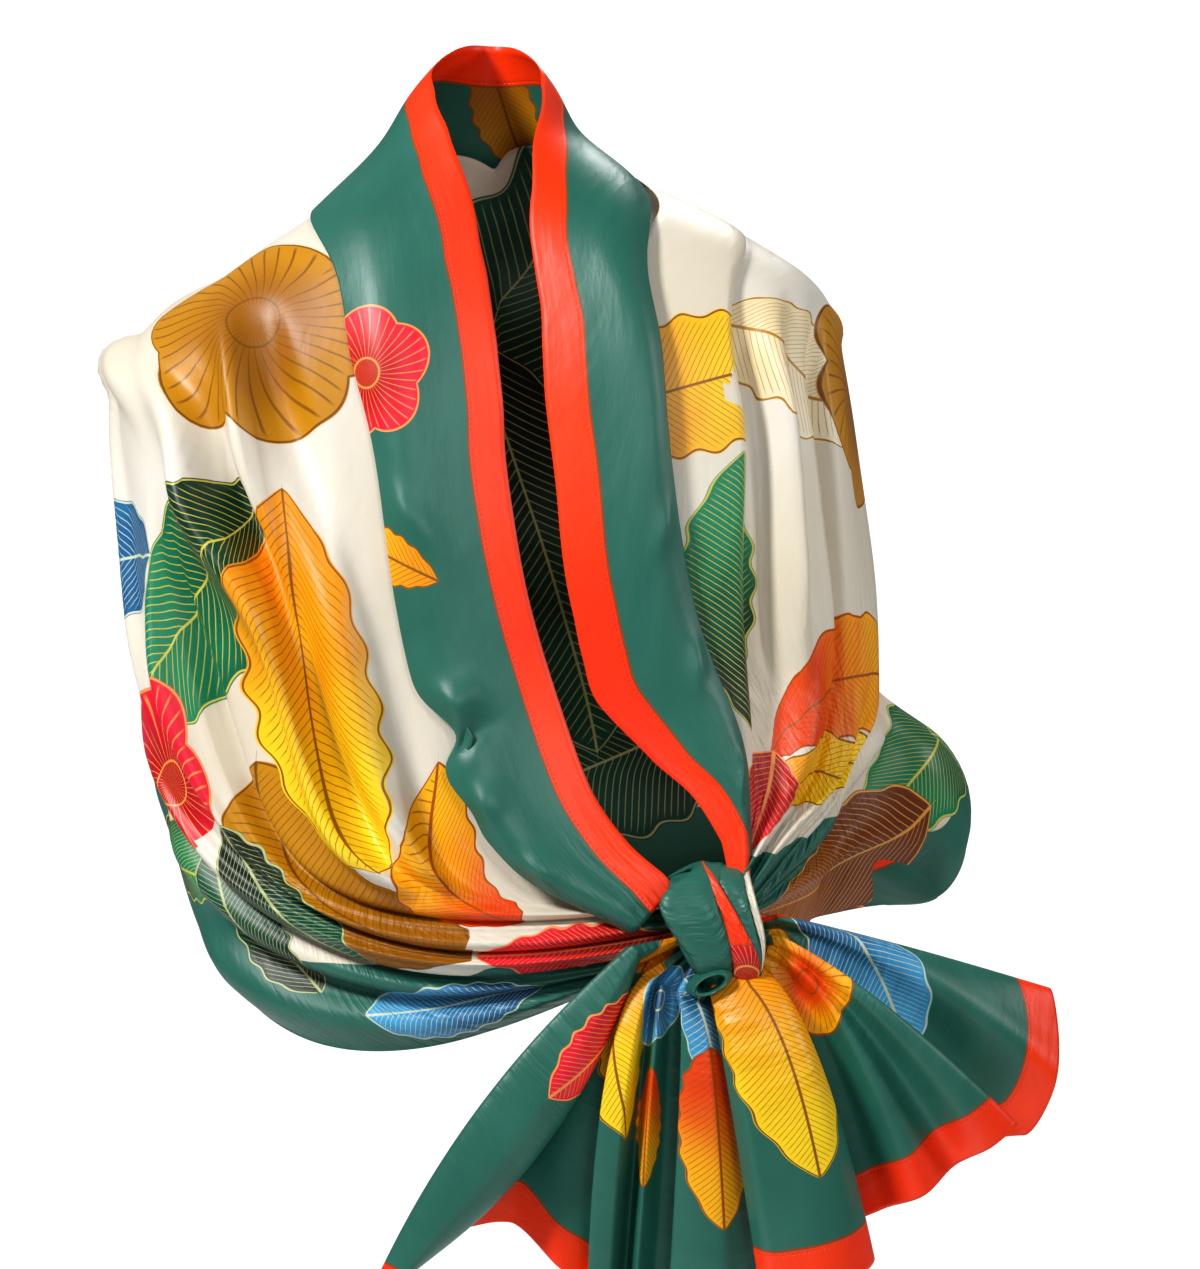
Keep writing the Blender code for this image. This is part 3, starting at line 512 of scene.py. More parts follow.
class Shader:
    """A material under construction."""

    def __init__(self, name):
        self.material = bpy.data.materials.new(name)
        self.material.use_nodes = True
        self.tree = self.material.node_tree
        self.surface = self.tree.nodes["Principled BSDF"]

    def node(self, kind, settings=(), inputs=()):
        """A node of that type, with its settings and then its sockets' values or links."""
        made = self.tree.nodes.new("ShaderNode" + kind)
        for setting, value in dict(settings).items():
            setattr(made, setting, value)
        for name, value in dict(inputs).items():
            if isinstance(value, Socket):
                self.tree.links.new(value.output, made.inputs[name])
            else:
                made.inputs[name].default_value = value
        return Node(self, made)

    def mix(self, factor, one, other):
        """A colour between two colours."""
        one, other = ((*c, 1.0) if isinstance(c, tuple) else c for c in (one, other))
        inputs = {0: factor, 6: one, 7: other}
        made = self.node("Mix", {"data_type": "RGBA"}, inputs).made
        return Socket(self, made.outputs[2])

    def feed(self, name, value):
        """Sets a socket of the surface."""
        if isinstance(value, Socket):
            self.tree.links.new(value.output, self.surface.inputs[name])
        else:
            self.surface.inputs[name].default_value = value

    def uv(self, name):
        """The two coordinates of a UV map."""
        split = self.node("SeparateXYZ", (), {0: self.node("UVMap", {"uv_map": name})["UV"]})
        return split["X"], split["Y"]

    def noise(self, x, y, z, scale, detail=2.0):
        """Noise between 0 and 1 at a point."""
        place = self.node("CombineXYZ", (), {0: x, 1: y, 2: z})["Vector"]
        return self.node("TexNoise", (), {"Vector": place, "Scale": scale, "Detail": detail})["Fac"]


ORANGE_HEM, HEM_SHADE = (0.95, 0.050, 0.001), (0.88, 0.026, 0.001)
BORDER_GREEN, BORDER_SHEEN = (0.022, 0.130, 0.095), (0.030, 0.155, 0.115)
# The paler second cream is painted highlight, laid over the cream field in patches by noise.
CREAM_FIELD, CREAM_HIGHLIGHT = (0.68, 0.61, 0.48), (0.74, 0.70, 0.62)
GOLD_LINE = (0.22, 0.06, 0.005)
HEM_WIDTH = 0.026
BORDER_WIDTH = 0.115
THREAD = 0.0005


def paint_layer(shader, colour, layer, grain):
    """The colour with one layer of motifs on it. In a motif's own places, x across and y up:
    a leaf is |x| under 0.50 (1 - y^2)^0.8 with a waved edge, its veins climb outwards from a
    midrib; a blossom is r under 0.76 + 0.17 |cos 2.5 a|, with lines along its petals."""
    x, y = shader.uv(layer)
    foot, tip, line = (
        shader.node("Attribute", {"attribute_name": f"{layer}_{label}"})
        for label in ("foot", "tip", "line")
    )
    kind, veins, fine = foot["Alpha"], tip["Alpha"] * float(MOST_VEINS), line["Alpha"]
    width = (1.0 - y * y).math("MAXIMUM", 0.0).math("POWER", 0.8) * LEAF_HALF_WIDTH
    wave = (y * 23.0 + grain * 3.0).math("SINE") * width * 0.05
    angle, radius = y.math("ARCTAN2", x), (x * x + y * y).math("SQRT")
    leaf_inside = width + wave - abs(x)
    blossom_inside = abs((angle * 2.5).math("COSINE")) * 0.17 + 0.76 - radius
    inside = leaf_inside + (blossom_inside - leaf_inside) * kind
    leaf_vein = (y - abs(x) * 0.9) * veins
    blossom_vein = angle * 5.8 + radius * 1.6
    vein = (leaf_vein + (blossom_vein - leaf_vein) * kind + grain * 0.5).math("FRACT")
    on_vein = 1.0 - abs(vein - 0.5).step(0.05, 0.10)
    midrib = (1.0 - (abs(x) / fine).step(0.6, 1.3)) * (1.0 - kind)
    heart = (1.0 - (abs(radius - 0.20) / fine).step(0.4, 1.0)) * kind
    rim = 1.0 - (abs(inside - 0.014) / fine).step(0.5, 1.0)
    growth = (y * 0.5 + 0.5) + (radius - (y * 0.5 + 0.5)) * kind
    fill = shader.mix((growth + grain * 0.5 - 0.25).step(0.18, 0.82), foot["Color"], tip["Color"])
    drawn = (on_vein * inside.step(0.02, 0.10) * 0.8).math("MAXIMUM", midrib).math("MAXIMUM", heart)
    fill = shader.mix(drawn.math("MAXIMUM", rim), fill, line["Color"])
    return shader.mix(inside.step(-0.004, 0.004), colour, fill)


def satin(name):
    """Printed satin: the orange hem, the green border and the cream field by distance from the
    hem, patches of painted highlight on the cream, the motifs over them, a soft sheen, and a bump of
    weave, small creases and stitches."""
    shader = Shader(name)
    along, across = shader.uv("flat")
    to_hem, crumpled = shader.uv("rim")
    grain = shader.noise(along, across, 0.0, 16.0)
    uneven_tone_and_highlight = shader.noise(along, across, 3.0, 5.0)
    wobble = to_hem + (grain - 0.5) * 0.0012
    # Paler patches of painted highlight on the cream, where the noise is high.
    field = shader.mix(uneven_tone_and_highlight.step(0.35, 0.75), CREAM_FIELD, CREAM_HIGHLIGHT)
    border = shader.mix(grain.step(0.3, 0.8), BORDER_GREEN, BORDER_SHEEN)
    colour = shader.mix(wobble.step(BORDER_WIDTH, BORDER_WIDTH + THREAD), border, field)
    for layer in LAYERS:
        colour = paint_layer(shader, colour, layer, grain)
    hem = shader.mix(uneven_tone_and_highlight.step(0.3, 0.8), ORANGE_HEM, HEM_SHADE)
    gold_line = 1.0 - abs(wobble - HEM_WIDTH).step(THREAD, 2 * THREAD)
    colour = shader.mix(wobble.step(HEM_WIDTH, HEM_WIDTH + THREAD), hem, colour)
    colour = shader.mix(gold_line * 0.85, colour, GOLD_LINE)
    shader.feed("Base Color", colour)
    shader.feed("Roughness", uneven_tone_and_highlight * 0.10 + 0.36)
    shader.feed("Specular IOR Level", 0.45)
    weave = (along * 5200.0 + across * 5200.0).math("SINE") * 0.00001
    creases = shader.noise(along * 14.0, across * 90.0, 1.0, 1.0, 3.0) * crumpled * 0.004
    dents = shader.noise(along, across, 7.0, 34.0, 3.0) * 0.0006
    stitch = (along * 2100.0).math("SINE").step(-0.2, 0.4)
    sewn = (1.0 - abs(to_hem - (HEM_WIDTH - 0.0025)).step(0.0003, 0.0009)) * stitch * 0.0003
    height = weave + creases + dents - sewn
    bump = shader.node("Bump", (), {"Height": height, "Distance": 1.0, "Strength": 1.0})
    shader.feed("Normal", bump["Normal"])
    return shader.material


SATIN = satin("printed_satin")

BODY_MOTIFS = (  # layer, along, across, radius, turned, kind, ink
    ("low", -0.50, 500, 118, 200, LEAF, "emerald"),
    ("low", -0.74, 560, 104, 75, LEAF, "ochre"),
    ("mid", -0.60, 436, 124, 264, LEAF, "yellow"),
    ("high", -0.80, 440, 56, 60, LEAF, "flame"),
    ("high", -0.56, 660, 66, 10, BLOSSOM, "crimson"),
    ("high", -0.71, 690, 62, 250, LEAF, "deep"),
    ("high", -0.38, 430, 84, 120, BLOSSOM, "ochre"),
    ("mid", -0.34, 640, 84, 160, LEAF, "blue"),
    ("low", -0.93, 640, 60, 90, LEAF, "crimson"),
    ("mid", -0.66, 812, 62, 60, LEAF, "deep"),
    ("low", -0.48, 820, 54, 300, LEAF, "emerald"),
    ("low", -0.84, 830, 56, 100, LEAF, "blue"),
    # The three deep leaves at the spine are print and also painted shade: they darken the inside of
    # the back panel that shows through the open front.
    ("low", -0.02, 470, 150, 20, LEAF, "deep"),
    ("mid", 0.03, 600, 140, 165, LEAF, "deep"),
    ("low", 0.08, 740, 110, 250, LEAF, "deep"),
    ("high", 0.17, 520, 92, 130, LEAF, "yellow"),
    ("low", -0.20, 640, 108, 340, LEAF, "emerald"),
    ("high", -0.06, 716, 66, 0, BLOSSOM, "crimson"),
    ("high", 0.17, 700, 74, 210, LEAF, "blue"),
    ("high", -0.18, 470, 62, 60, BLOSSOM, "flame"),
    ("mid", 0.26, 440, 70, 250, LEAF, "deep"),
    ("low", 0.62, 362, 84, 190, LEAF, "yellow"),
    ("mid", 0.76, 386, 84, 272, LEAF, "emerald"),
    ("low", 0.56, 480, 74, 150, LEAF, "outline"),
    ("mid", 0.46, 590, 70, 30, BLOSSOM, "ochre"),
    ("low", 0.74, 600, 76, 200, LEAF, "flame"),
    ("high", 0.92, 452, 34, 90, LEAF, "crimson"),
    ("low", 0.36, 560, 92, 300, LEAF, "yellow"),
    ("low", 0.50, 822, 76, 100, LEAF, "emerald"),
    ("high", 0.84, 838, 84, 96, LEAF, "brown"),
    ("mid", 0.86, 560, 56, 180, LEAF, "yellow"),
    ("mid", 0.38, 840, 50, 60, LEAF, "emerald"),
)


def spread(*stops):
    """Places from one stop to the next: each row is (start, end, steps)."""
    runs = [np.linspace(a, b, n, endpoint=False) for a, b, n in stops]
    return np.concatenate(runs + [[stops[-1][1]]])


body_along = spread((-1.0, -0.30, 112), (-0.30, 0.30, 84), (0.30, 1.0, 116))
body_across = spread((340, 372, 8), (372, 410, 15), (410, 716, 66), (716, 774, 19), (774, 858, 22),
                     (858, 874, 8), (874, 900, 6))
body_grid = Grid(body_points(body_along, body_across[:, None] + 0 * body_along),
                 body_along[None, :], body_across[:, None])
body_to_hem = body_grid.across_way[-1:] - body_grid.across_way
body_crumple = ease(np.abs(body_grid.along), 0.55, 1.0)
body = add_cloth("body_cloth", [body_grid], [(body_to_hem, body_crumple)], [BODY_MOTIFS])
body.data.materials.append(SATIN)
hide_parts("back_panel", "drape_left", "drape_right", "pleat_right", "sling_left", "sling_right")


# ---------------------------------------------------------------- the collar and lapels
# The border of the scarf, standing round the neck and turned back down both sides of the open
# front. Its free edge is the sewn orange hem; its outer edge is a soft fold, rolled under.

BAND_WIDTH = 100.0
COLLAR_TOP, COLLAR_FALL = 97.0, 0.99  # height of the free edge at the spine, fall for each mm below
BAND_LEFT = (
    (0, 84, -12, 12, 4, -66, 23, -205, 55, -296, 82, -358, 0, 0),
    (100, -5, -90, -36, -78, -90, -56, -200, -38, -292, 0, -368, 1, 2),
)
BAND_RIGHT = (
    (0, 81, 26, 10, 32, -66, 47, -205, 86, -298, 127, -343, 0, 3),
    (100, 4, 104, -32, 105, -84, 114, -190, 134, -278, 153, -332, 2, 8),
)
BAND_END_LEFT = ((112, -398), (86, -425), 24)  # the hem, the fold, and its lift
BAND_END_RIGHT = ((143, -394), (156, -394), 36)
ROLL = (  # cloth, how far it stands off round the back, and on the front
    (0, 1, 5),
    (50, 3, 10),
    (86, 5, 12),
    (100, 2.7, 6),
)
NECKLINE_LEFT = (  # height of the free edge, and how far it lies to the right
    (96, 0), (82, 2), (66, 9), (50, 9), (34, 5), (12, 0), (-8, -4), (-26, -7), (-46, -4), (-66, 1),
    (-86, 5), (-116, 7), (-147, 4), (-177, 1), (-237, -6), (-295, -10), (-340, -12), (-372, -7),
    (-390, 0),
)
NECKLINE_RIGHT = (
    (96, 0), (84, -3), (70, -8), (52, -6), (35, -4), (4, 4), (-26, 6), (-56, 3), (-86, -2),
    (-116, -4), (-177, -1), (-237, -3), (-266, -8), (-295, -16), (-325, -16), (-345, -8), (-372, 0),
)
NOTCHES = (  # place along the folded edge, how far it is moved to the right, length, reach
    (-0.785, 17, 14, 60),
    (-0.855, 4, 12, 40),
    (-0.93, -6, 20, 70),
    (0.22, -19, 70, 90),
    (0.52, -6, 70, 60),
)
EDGE_ROLL = 1.5
TURNED_UNDER = 9.0
BAND_CREASES = (  # side, along, cloth at the fold, length, half width, height: they start at the fold
    (-1, 0.765, 60, -0.030, 9, 5.0),
    (-1, 0.800, 64, -0.035, 7, -5.0),
    (-1, 0.860, 50, -0.030, 9, 4.0),
    (-1, 0.930, 46, -0.030, 9, 5.0),
    (-1, 0.560, 60, 0.060, 14, 3.0),
    (1, 0.620, 40, 0.060, 12, 2.5),
    (1, 0.760, 40, 0.060, 10, 3.0),
    (1, 0.880, 34, 0.060, 8, 3.0),
)


def band_end(cloth, side):
    """Where a line of the lapel ends at the knot, and its lift there."""
    edge, fold, lift = BAND_END_LEFT if side < 0 else BAND_END_RIGHT
    x, z = np.array(edge) + (np.array(fold) - edge) * cloth / BAND_WIDTH
    return x, z, lift


def band_lift(along, across, side, room):
    """The roll of the collar and lapels, the creases that run in from the fold, and ripples."""
    rows = np.array(ROLL, float)
    roll = spline(rows[:, 0], rows[:, 1:], across)
    front = ease(along, 0.15, 0.40)
    lift = roll[..., 0] * (1 - front) + roll[..., 1] * front
    for crease_side, place, deep, length, half_width, height in BAND_CREASES:
        inward = (BAND_WIDTH - across) / deep
        lean = along - place - inward * length
        crease = height * np.exp(-((lean * HALF_RUN / half_width) ** 2))
        crease = crease * ease(inward, 0, 0.3) * (1 - ease(inward, 0.3, 1.0))
        lift = lift + np.where(side == crease_side, crease, 0)
    return lift + ripple(along * side, across * 1.7, 0.45) * front


def band_points(along, across):
    """The collar and lapels, standing up at the spine. Their free edge is then moved sideways
    to its neckline, and the rest of the cloth by less the nearer it is to the fold."""
    points = sheet(BAND_LEFT, BAND_RIGHT, lambda cloth: COLLAR_TOP - cloth * COLLAR_FALL,
                   band_end, band_lift, along, across)
    for side, neckline in ((-1, NECKLINE_LEFT), (1, NECKLINE_RIGHT)):
        heights, moves = np.array(neckline[::-1], float).T
        move = steady(heights, moves, points[:1, :, 2] / MM) * (along * side > 0.04)
        points[..., 0] += move * (1 - across / BAND_WIDTH) ** 1.3 * MM
    return points


def draw_in(points, along, across):
    """Moves the folded edge sideways at each notch, less and less towards the neckline."""
    inward = np.clip(BAND_WIDTH - across, 0, BAND_WIDTH)[:, None]
    for place, drawn, length, reach in NOTCHES:
        off = (along - place - 0.0006 * inward) * HALF_RUN / (length + inward / 2)
        pull = drawn * np.exp(-off * off - 2.5 * inward / reach)
        points[..., 0] += pull * MM
        points[..., 1] -= 0.3 * np.abs(pull) * MM
    return points


def roll_under(points, radius, run, steps=7, run_steps=3):
    """Adds rows past the last one: a half turn of that radius, down and back, and then a flat
    run under the cloth."""
    last = points[-1]
    ahead = unit(last - points[-3])
    along = unit(np.gradient(last, axis=0))
    off = unit(np.cross(along, ahead))
    turn = np.linspace(0, np.pi, steps + 1)[1:, None, None]
    curl = last + radius * (np.sin(turn) * ahead - (1 - np.cos(turn)) * off)
    back = curl[-1] - np.linspace(0, run, run_steps + 1)[1:, None, None] * ahead
    return np.concatenate([points, curl, back])


BAND_MOTIFS = (
    ("low", -0.43, 92, 44, 210, BLOSSOM, "crimson"),
    ("mid", -0.62, 104, 34, 160, LEAF, "yellow"),
    ("low", 0.02, 42, 44, 170, LEAF, "ochre"),
    ("mid", -0.06, 74, 26, 20, BLOSSOM, "crimson"),
)

band_along = spread((-1.0, -0.22, 190), (-0.22, 0.22, 70), (0.22, 1.0, 190))
band_across = BAND_WIDTH * np.sin(np.linspace(0, np.pi / 2, 33))
band_flat = band_points(band_along, band_across[:, None] + 0 * band_along)
band_rows = np.append(band_across, BAND_WIDTH + 1 + np.arange(10))
band_rolled = roll_under(band_flat, EDGE_ROLL * MM, TURNED_UNDER * MM)
band_grid = Grid(draw_in(band_rolled, band_along, band_rows), band_along[None, :], band_rows[:, None])
narrowed = 1 + 0.22 * ease(-band_grid.along, 0.25, 0.45) + 0.45 * ease(band_grid.along, 0.78, 0.94)
collar = add_cloth("collar_and_lapels", [band_grid],
                   [(band_grid.across_way * narrowed,
                     0.12 + 0.88 * ease(np.abs(band_grid.along), 0.85, 1.0))],
                   [BAND_MOTIFS])
collar.data.materials.append(SATIN)
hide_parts("collar_back", "lapel_left", "lapel_right")


# ---------------------------------------------------------------- the knot
# One end of the scarf passed round the gathered cloth: a band folded into strips, whose
# colours are the parts of the print that happen to lie there.

WRAP_MIDDLE = (-152.0, -424.0)  # y, z
STRIPS = (  # distance to the hem at the top, at the foot, lift, half height, half depth, and the
    # edges from top to foot, each a height, its left end and its right end
    (0.060, 0.060, -1.5, 34.0, 26.0, ((-388, 108, 150), (-404, 108, 158), (-424, 112, 162),
                                      (-446, 121, 158), (-458, 127, 150))),
    (0.060, 0.060, 2.0, 37.0, 29.0, ((-384, 122, 142), (-390, 112, 138), (-397, 104, 137),
                                     (-406, 103, 139), (-415, 107, 142), (-430, 117, 145),
                                     (-444, 124, 145), (-461, 130, 138))),
    (0.012, 0.060, 3.2, 36.0, 27.5, ((-385, 126, 132), (-404, 137, 146), (-421, 142, 156),
                                     (-432, 144, 161), (-444, 144, 160), (-454, 141, 154))),
    (0.060, 0.060, 1.4, 36.0, 26.5, ((-385, 131, 152), (-404, 144, 156), (-418, 153, 160),
                                     (-432, 159, 163), (-452, 151, 158))),
    (0.200, 0.200, 1.8, 35.0, 26.0, ((-387, 151, 155), (-404, 155, 160), (-418, 159.5, 163.5),
                                     (-430, 161.5, 163.5), (-452, 152, 158))),
)
MOUTH = (132.0, -185.0, -450.0)  # the open end of the green strip, at the foot of the wrap
MOUTH_HALF_WIDTH, MOUTH_HALF_HEIGHT = 9.0, 5.0
LIP = ((0.0, 1.6, 14.0), (0.35, 1.25, 1.5), (0.5, 1.08, -1.0), (0.62, 0.90, 1.0), (1.0, 0.60, 24.0))
WRAP_MOTIFS = (
    ("low", -0.62, 0.5, 38, 0, BLOSSOM, "crimson"),
)


def strip_points(half_height, half_depth, lift, edges, turns, shares):
    """One strip of the wrap: a flattened ring round the gathered cloth. Its edges move sideways
    with height, and it is crowned from edge to edge."""
    rows = np.array(edges[::-1], float)
    turn, share = turns[:, None], shares[None, :]
    middle_y, middle_z = WRAP_MIDDLE
    top, bottom = rows[-1, 0], rows[0, 0]
    height = (top + bottom) / 2 + (top - bottom) / 2 * np.sin(turn)
    left, right = np.moveaxis(spline(rows[:, 0], rows[:, 1:], height[:, 0]), -1, 0)
    crown = 4.5 * np.sqrt(np.clip(1 - (2 * share - 1) ** 2, 0, 1)) + lift
    crown = crown + 0.7 * np.sin(share * 9 + turn * 1.5) * np.sin(turn * 2 + 1)
    x = left[:, None] + (right - left)[:, None] * share
    y = middle_y - (half_depth - 3 + crown) * np.cos(turn)
    z = middle_z + (half_height - 3 + crown) * np.sin(turn) + 0 * share
    return np.stack([x, y, z], axis=-1) * MM


def mouth_points(turns, shares):
    """The open end: rings round its middle, from the skirt over the lip and down inside. LIP
    holds, by share, how wide a ring is and how far back it lies."""
    rows = np.array(LIP)
    wide, back = np.moveaxis(steady(rows[:, 0], rows[:, 1:], shares), -1, 0)
    turn = turns[:, None]
    x = MOUTH_HALF_WIDTH * wide * np.cos(turn)
    z = MOUTH_HALF_HEIGHT * wide * np.sin(turn) + 0.35 * x
    return (np.array(MOUTH) + np.stack([x, back + 0 * x, z], axis=-1)) * MM


turns = np.linspace(-np.pi, np.pi, 97)
shares = np.linspace(0, 1, 25)
wrap_grids, wrap_ground, wrap_motifs = [], [], []
for hem_above, hem_below, lift, half_height, half_depth, edges in STRIPS:
    points = strip_points(half_height, half_depth, lift, edges, turns, shares)
    wrap_grids.append(Grid(points, turns[:, None], shares[None, :]))
    wrap_ground.append((hem_above + (hem_below - hem_above) * ease(-turns[:, None], -0.1, 0.4), 1.0))
    wrap_motifs.append(WRAP_MOTIFS if hem_above < hem_below else ())
wrap_grids.append(Grid(mouth_points(turns[::-1], shares), turns[:, None], shares[None, :]))
wrap_ground.append((0.06, 1.0))
wrap_motifs.append(())
wrap = add_cloth("knot_wrap_cloth", wrap_grids, wrap_ground, wrap_motifs)
wrap.data.materials.append(SATIN)
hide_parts("knot_wrap", "knot_core")


# ---------------------------------------------------------------- the tails
# The two ends of the scarf, below the knot: each leaves it as a bundle and opens as a fan of
# folds that lap over one another, down to the sewn orange hem.

TAIL_RIGHT = (  # a line of the cloth: x, z, y at the knot, at the middle and at the hem
    (132, -457, -178, 143, -514, -192, 161, -628, -190),
    (137, -457, -180, 152, -515, -202, 172, -628, -202),
    (147, -455, -182, 171, -512, -204, 196, -624, -206),
    (158, -451, -180, 190, -504, -198, 219, -618, -198),
    (164.8, -446, -170.5, 196, -498, -184, 228, -614, -176),
    (166.4, -444, -163, 184, -496, -168, 212, -602, -158),
    (170, -441, -161, 197, -484, -166, 234, -588, -162),
    (172.5, -437, -166, 211, -478, -180, 257, -576, -177),
    (173, -433, -163, 219, -474, -173, 277, -562, -161),
    (174.5, -429.5, -167, 230, -469, -184, 297, -548, -173),
    (174.5, -426, -166, 237, -466, -181, 312, -537, -165),
    (173, -426.5, -158, 224, -474, -160, 296, -552, -142),
    (173.5, -423, -154, 240, -462, -151, 320, -552, -129),
    (175, -419, -158, 251, -451, -157, 338, -518, -135),
    (174, -416, -161, 254, -443, -152, 341, -494, -120),
    (172, -414, -158, 248, -436, -142, 337, -468, -104),
    (171, -415, -154, 240, -440, -130, 324, -474, -90),
)
TAIL_LEFT = (
    (136, -463, -150, 158, -520, -154, 170, -652, -150),
    (131, -463, -159, 150, -522, -170, 162, -660, -166),
    (125, -464.5, -169.5, 133, -524, -188, 141, -667, -185),
    (114, -457, -168.5, 114, -514, -182, 106, -671, -177),
    (112, -458.5, -159, 118, -512, -170, 108, -671, -168),
    (109, -457, -158, 108, -510, -165, 98, -672, -164),
    (105, -453, -165, 98, -508, -183, 86, -673, -178),
    (101, -452, -159, 92, -510, -167, 80, -672, -160),
    (102, -448, -167.5, 83, -508, -187, 71, -668, -180),
    (93.5, -447, -167, 70, -512, -182, 60, -656, -175),
    (95, -446.5, -158.5, 72, -519, -166, 65, -640, -160),
    (92, -447, -153, 54, -524, -159, 44, -622, -166),
    (89, -446, -152, 36, -531, -150, 14, -600, -148),
    (88, -445, -158, 20, -542, -154, -10, -604, -144),
    (91, -439, -170, 33, -551, -178, -56, -632, -163),
    (90, -433, -178, 20, -536, -194, -60, -640, -178),
    (86, -429, -176, -2, -522, -184, -68, -640, -168),
    (82, -432, -166, -3, -530, -168, -66, -636, -154),
)
GATHER = (134.0, -424.0, -150.0)  # x, z, y inside the knot
TAIL_FALL = 180.0  # the hem's place on a tail, as motifs count it


def tail_points(rows, across, down):
    """A tail: through each row's three points goes one bowed line, a parabola on the share of
    the way down, and a smooth curve goes from line to line. Above the first points the lines
    draw together inside the knot."""
    table = np.array(rows, float).reshape(len(rows), 3, 3)[..., [0, 2, 1]]
    knot, middle, hem = np.moveaxis(steady(np.arange(len(rows)), table, across), 1, 0)
    s = np.maximum(down, 0)[:, None, None]
    points = (1 - s) * (1 - 2 * s) * knot + 4 * s * (1 - s) * middle + s * (2 * s - 1) * hem
    gather = np.array(GATHER)[[0, 2, 1]]
    drawn = ease(-down, 0, -down[0])[:, None, None] * 0.75
    points = points + (gather - points) * drawn
    drape = np.sin(across * 2.1 + 0.7) * np.sin(down[:, None] * 5.3 + across * 0.8)
    points[..., 1] += 1.8 * drape * s[..., 0]
    return points * MM


def add_tail(name, rows, node, side_hem, motifs):
    """A tail on a grid, with its hem colours by distance from its end and from one side, which
    is turned under."""
    across = np.linspace(0, len(rows) - 1, (len(rows) - 1) * 14 + 1)
    down = np.append(np.linspace(-0.16, 0, 9)[:-1], np.linspace(0, 1, 131))
    share = across[None, :] / (len(rows) - 1)
    grid = Grid(tail_points(rows, across, down), share, down[:, None] * TAIL_FALL)
    to_hem = grid.across_way[-1:] - grid.across_way
    if side_hem:
        side = grid.along_way[:, -1:] - grid.along_way
        to_hem = np.minimum(to_hem, side + side_hem)
    crumpled = 1 - 0.8 * ease(down, 0.05, 0.7)[:, None]
    piece = add_cloth(name, [grid], [(np.minimum(to_hem, 0.10), crumpled)], [motifs])
    piece.data.materials.append(SATIN)
    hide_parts(node)
    return piece


TAIL_RIGHT_MOTIFS = (
    ("low", 0.16, 66, 74, 188, LEAF, "yellow"),
    ("mid", 0.42, 44, 36, 20, BLOSSOM, "flame"),
    ("low", 0.80, 62, 66, 200, LEAF, "blue"),
)
TAIL_LEFT_MOTIFS = (
    ("low", 0.11, 26, 44, 182, LEAF, "blue"),
    ("mid", 0.11, 104, 54, 180, LEAF, "flame"),
    ("low", 0.54, 52, 66, 184, LEAF, "yellow"),
    ("high", 0.36, 34, 30, 0, BLOSSOM, "blue"),
    ("mid", 0.36, 110, 36, 175, LEAF, "flame"),
    ("low", 0.83, 36, 46, 172, LEAF, "crimson"),
    ("mid", 0.78, 110, 44, 175, LEAF, "blue"),
)
tail_right = add_tail("tail_right_cloth", TAIL_RIGHT, "tail_right", 0.019, TAIL_RIGHT_MOTIFS)
tail_left = add_tail("tail_left_cloth", TAIL_LEFT, "tail_left", 0, TAIL_LEFT_MOTIFS)


# ---------------------------------------------------------------- floor, light and camera
# A plain pale floor well below the scarf, a pale room, and large soft lamps. The camera stands
# at the photo's place, before the front and a little above it.

FLOOR_REACH, FLOOR_DROP = 2.4, 1.38
floor_signs = ((-1, -1), (1, -1), (1, 1), (-1, 1))
floor_corners = [(FLOOR_REACH * x, FLOOR_REACH * y, -FLOOR_DROP) for x, y in floor_signs]
floor_mesh = bpy.data.meshes.new("floor")
floor_mesh.from_pydata(floor_corners, [], [(0, 1, 2, 3)])
floor = bpy.data.objects.new("floor", floor_mesh)
bpy.context.scene.collection.objects.link(floor)
pale = Shader("pale_floor")
pale.feed("Base Color", (0.92, 0.92, 0.92, 1.0))
pale.feed("Roughness", 0.9)
floor_mesh.materials.append(pale.material)

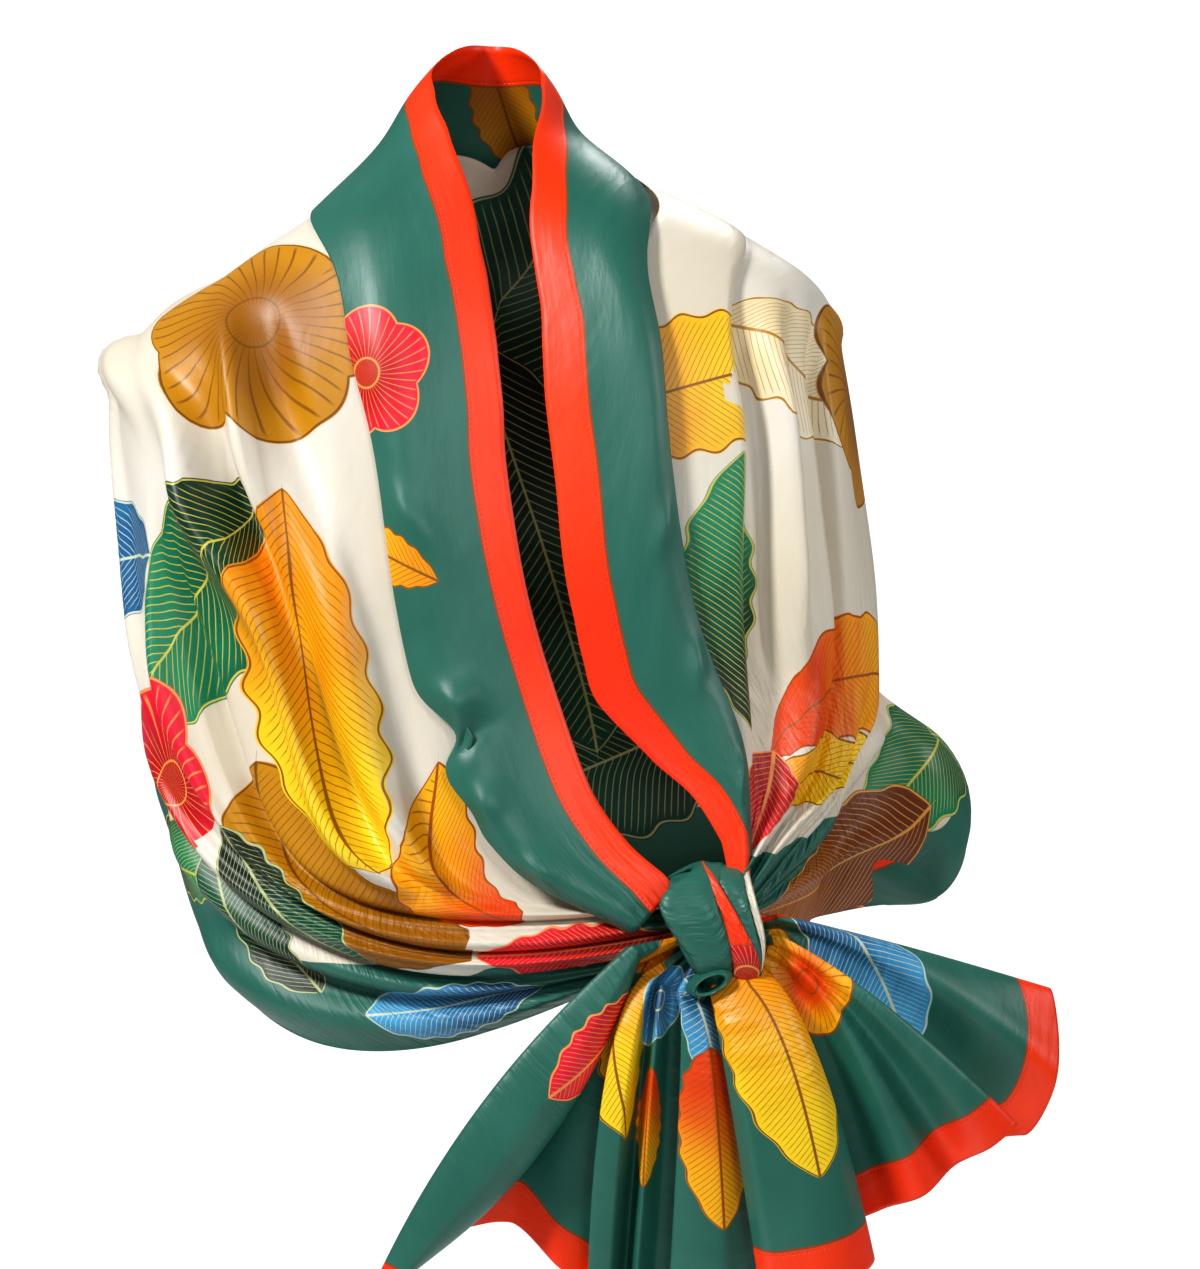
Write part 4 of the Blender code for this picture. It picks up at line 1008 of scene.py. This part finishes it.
SEEN_WHITE, ROOM_LIGHT = 1.0, 0.15  # the backdrop as the camera sees it, and as it lights the cloth
world = bpy.data.worlds.new("pale_room")
world.use_nodes = True
room, output = world.node_tree.nodes["Background"], world.node_tree.nodes["World Output"]
room.inputs["Color"].default_value = (0.93, 0.96, 1.0, 1.0)
room.inputs["Strength"].default_value = ROOM_LIGHT
backdrop = world.node_tree.nodes.new("ShaderNodeBackground")
backdrop.inputs["Color"].default_value = (1.0, 1.0, 1.0, 1.0)
backdrop.inputs["Strength"].default_value = SEEN_WHITE
chosen = world.node_tree.nodes.new("ShaderNodeMixShader")
ray = world.node_tree.nodes.new("ShaderNodeLightPath")
world.node_tree.links.new(ray.outputs["Is Camera Ray"], chosen.inputs[0])
world.node_tree.links.new(room.outputs[0], chosen.inputs[1])
world.node_tree.links.new(backdrop.outputs[0], chosen.inputs[2])
world.node_tree.links.new(chosen.outputs[0], output.inputs["Surface"])
bpy.context.scene.world = world
bpy.context.scene.view_settings.view_transform = "Standard"
bpy.context.scene.view_settings.look = "Medium High Contrast"

LAMPS = (  # name, place, what it points at, size, watts
    ("key", (-1.6, -1.35, 1.4), (0.0, -0.1, -0.25), 0.55, 66.0),
    ("front", (0.7, -2.4, 0.9), (0.0, -0.1, -0.30), 0.7, 14.0),
    ("right", (2.1, -0.5, 0.6), (0.05, 0.0, -0.30), 0.5, 12.0),
    ("back", (0.3, 2.0, 1.7), (0.0, 0.0, -0.20), 1.2, 40.0),
)
for name, place, aim, size, watts in LAMPS:
    lamp = bpy.data.lights.new(name, "AREA")
    lamp.shape, lamp.size, lamp.energy = "DISK", size, watts
    holder = bpy.data.objects.new(name, lamp)
    holder.location = place
    holder.rotation_mode = "QUATERNION"
    toward = np.array(aim) - np.array(place)
    holder.rotation_quaternion = Vector(toward).to_track_quat("-Z", "Y")
    bpy.context.scene.collection.objects.link(holder)

camera = bpy.data.objects.new("camera", bpy.data.cameras.new("camera"))
camera.data.lens = 109.8
camera.data.sensor_width = 36.0
camera.location = (0.068, -2.387, -0.0151)
camera.rotation_euler = (np.radians(84.0), 0.0, 0.0)
bpy.context.scene.collection.objects.link(camera)
bpy.context.scene.camera = camera

bpy.context.view_layer.update()
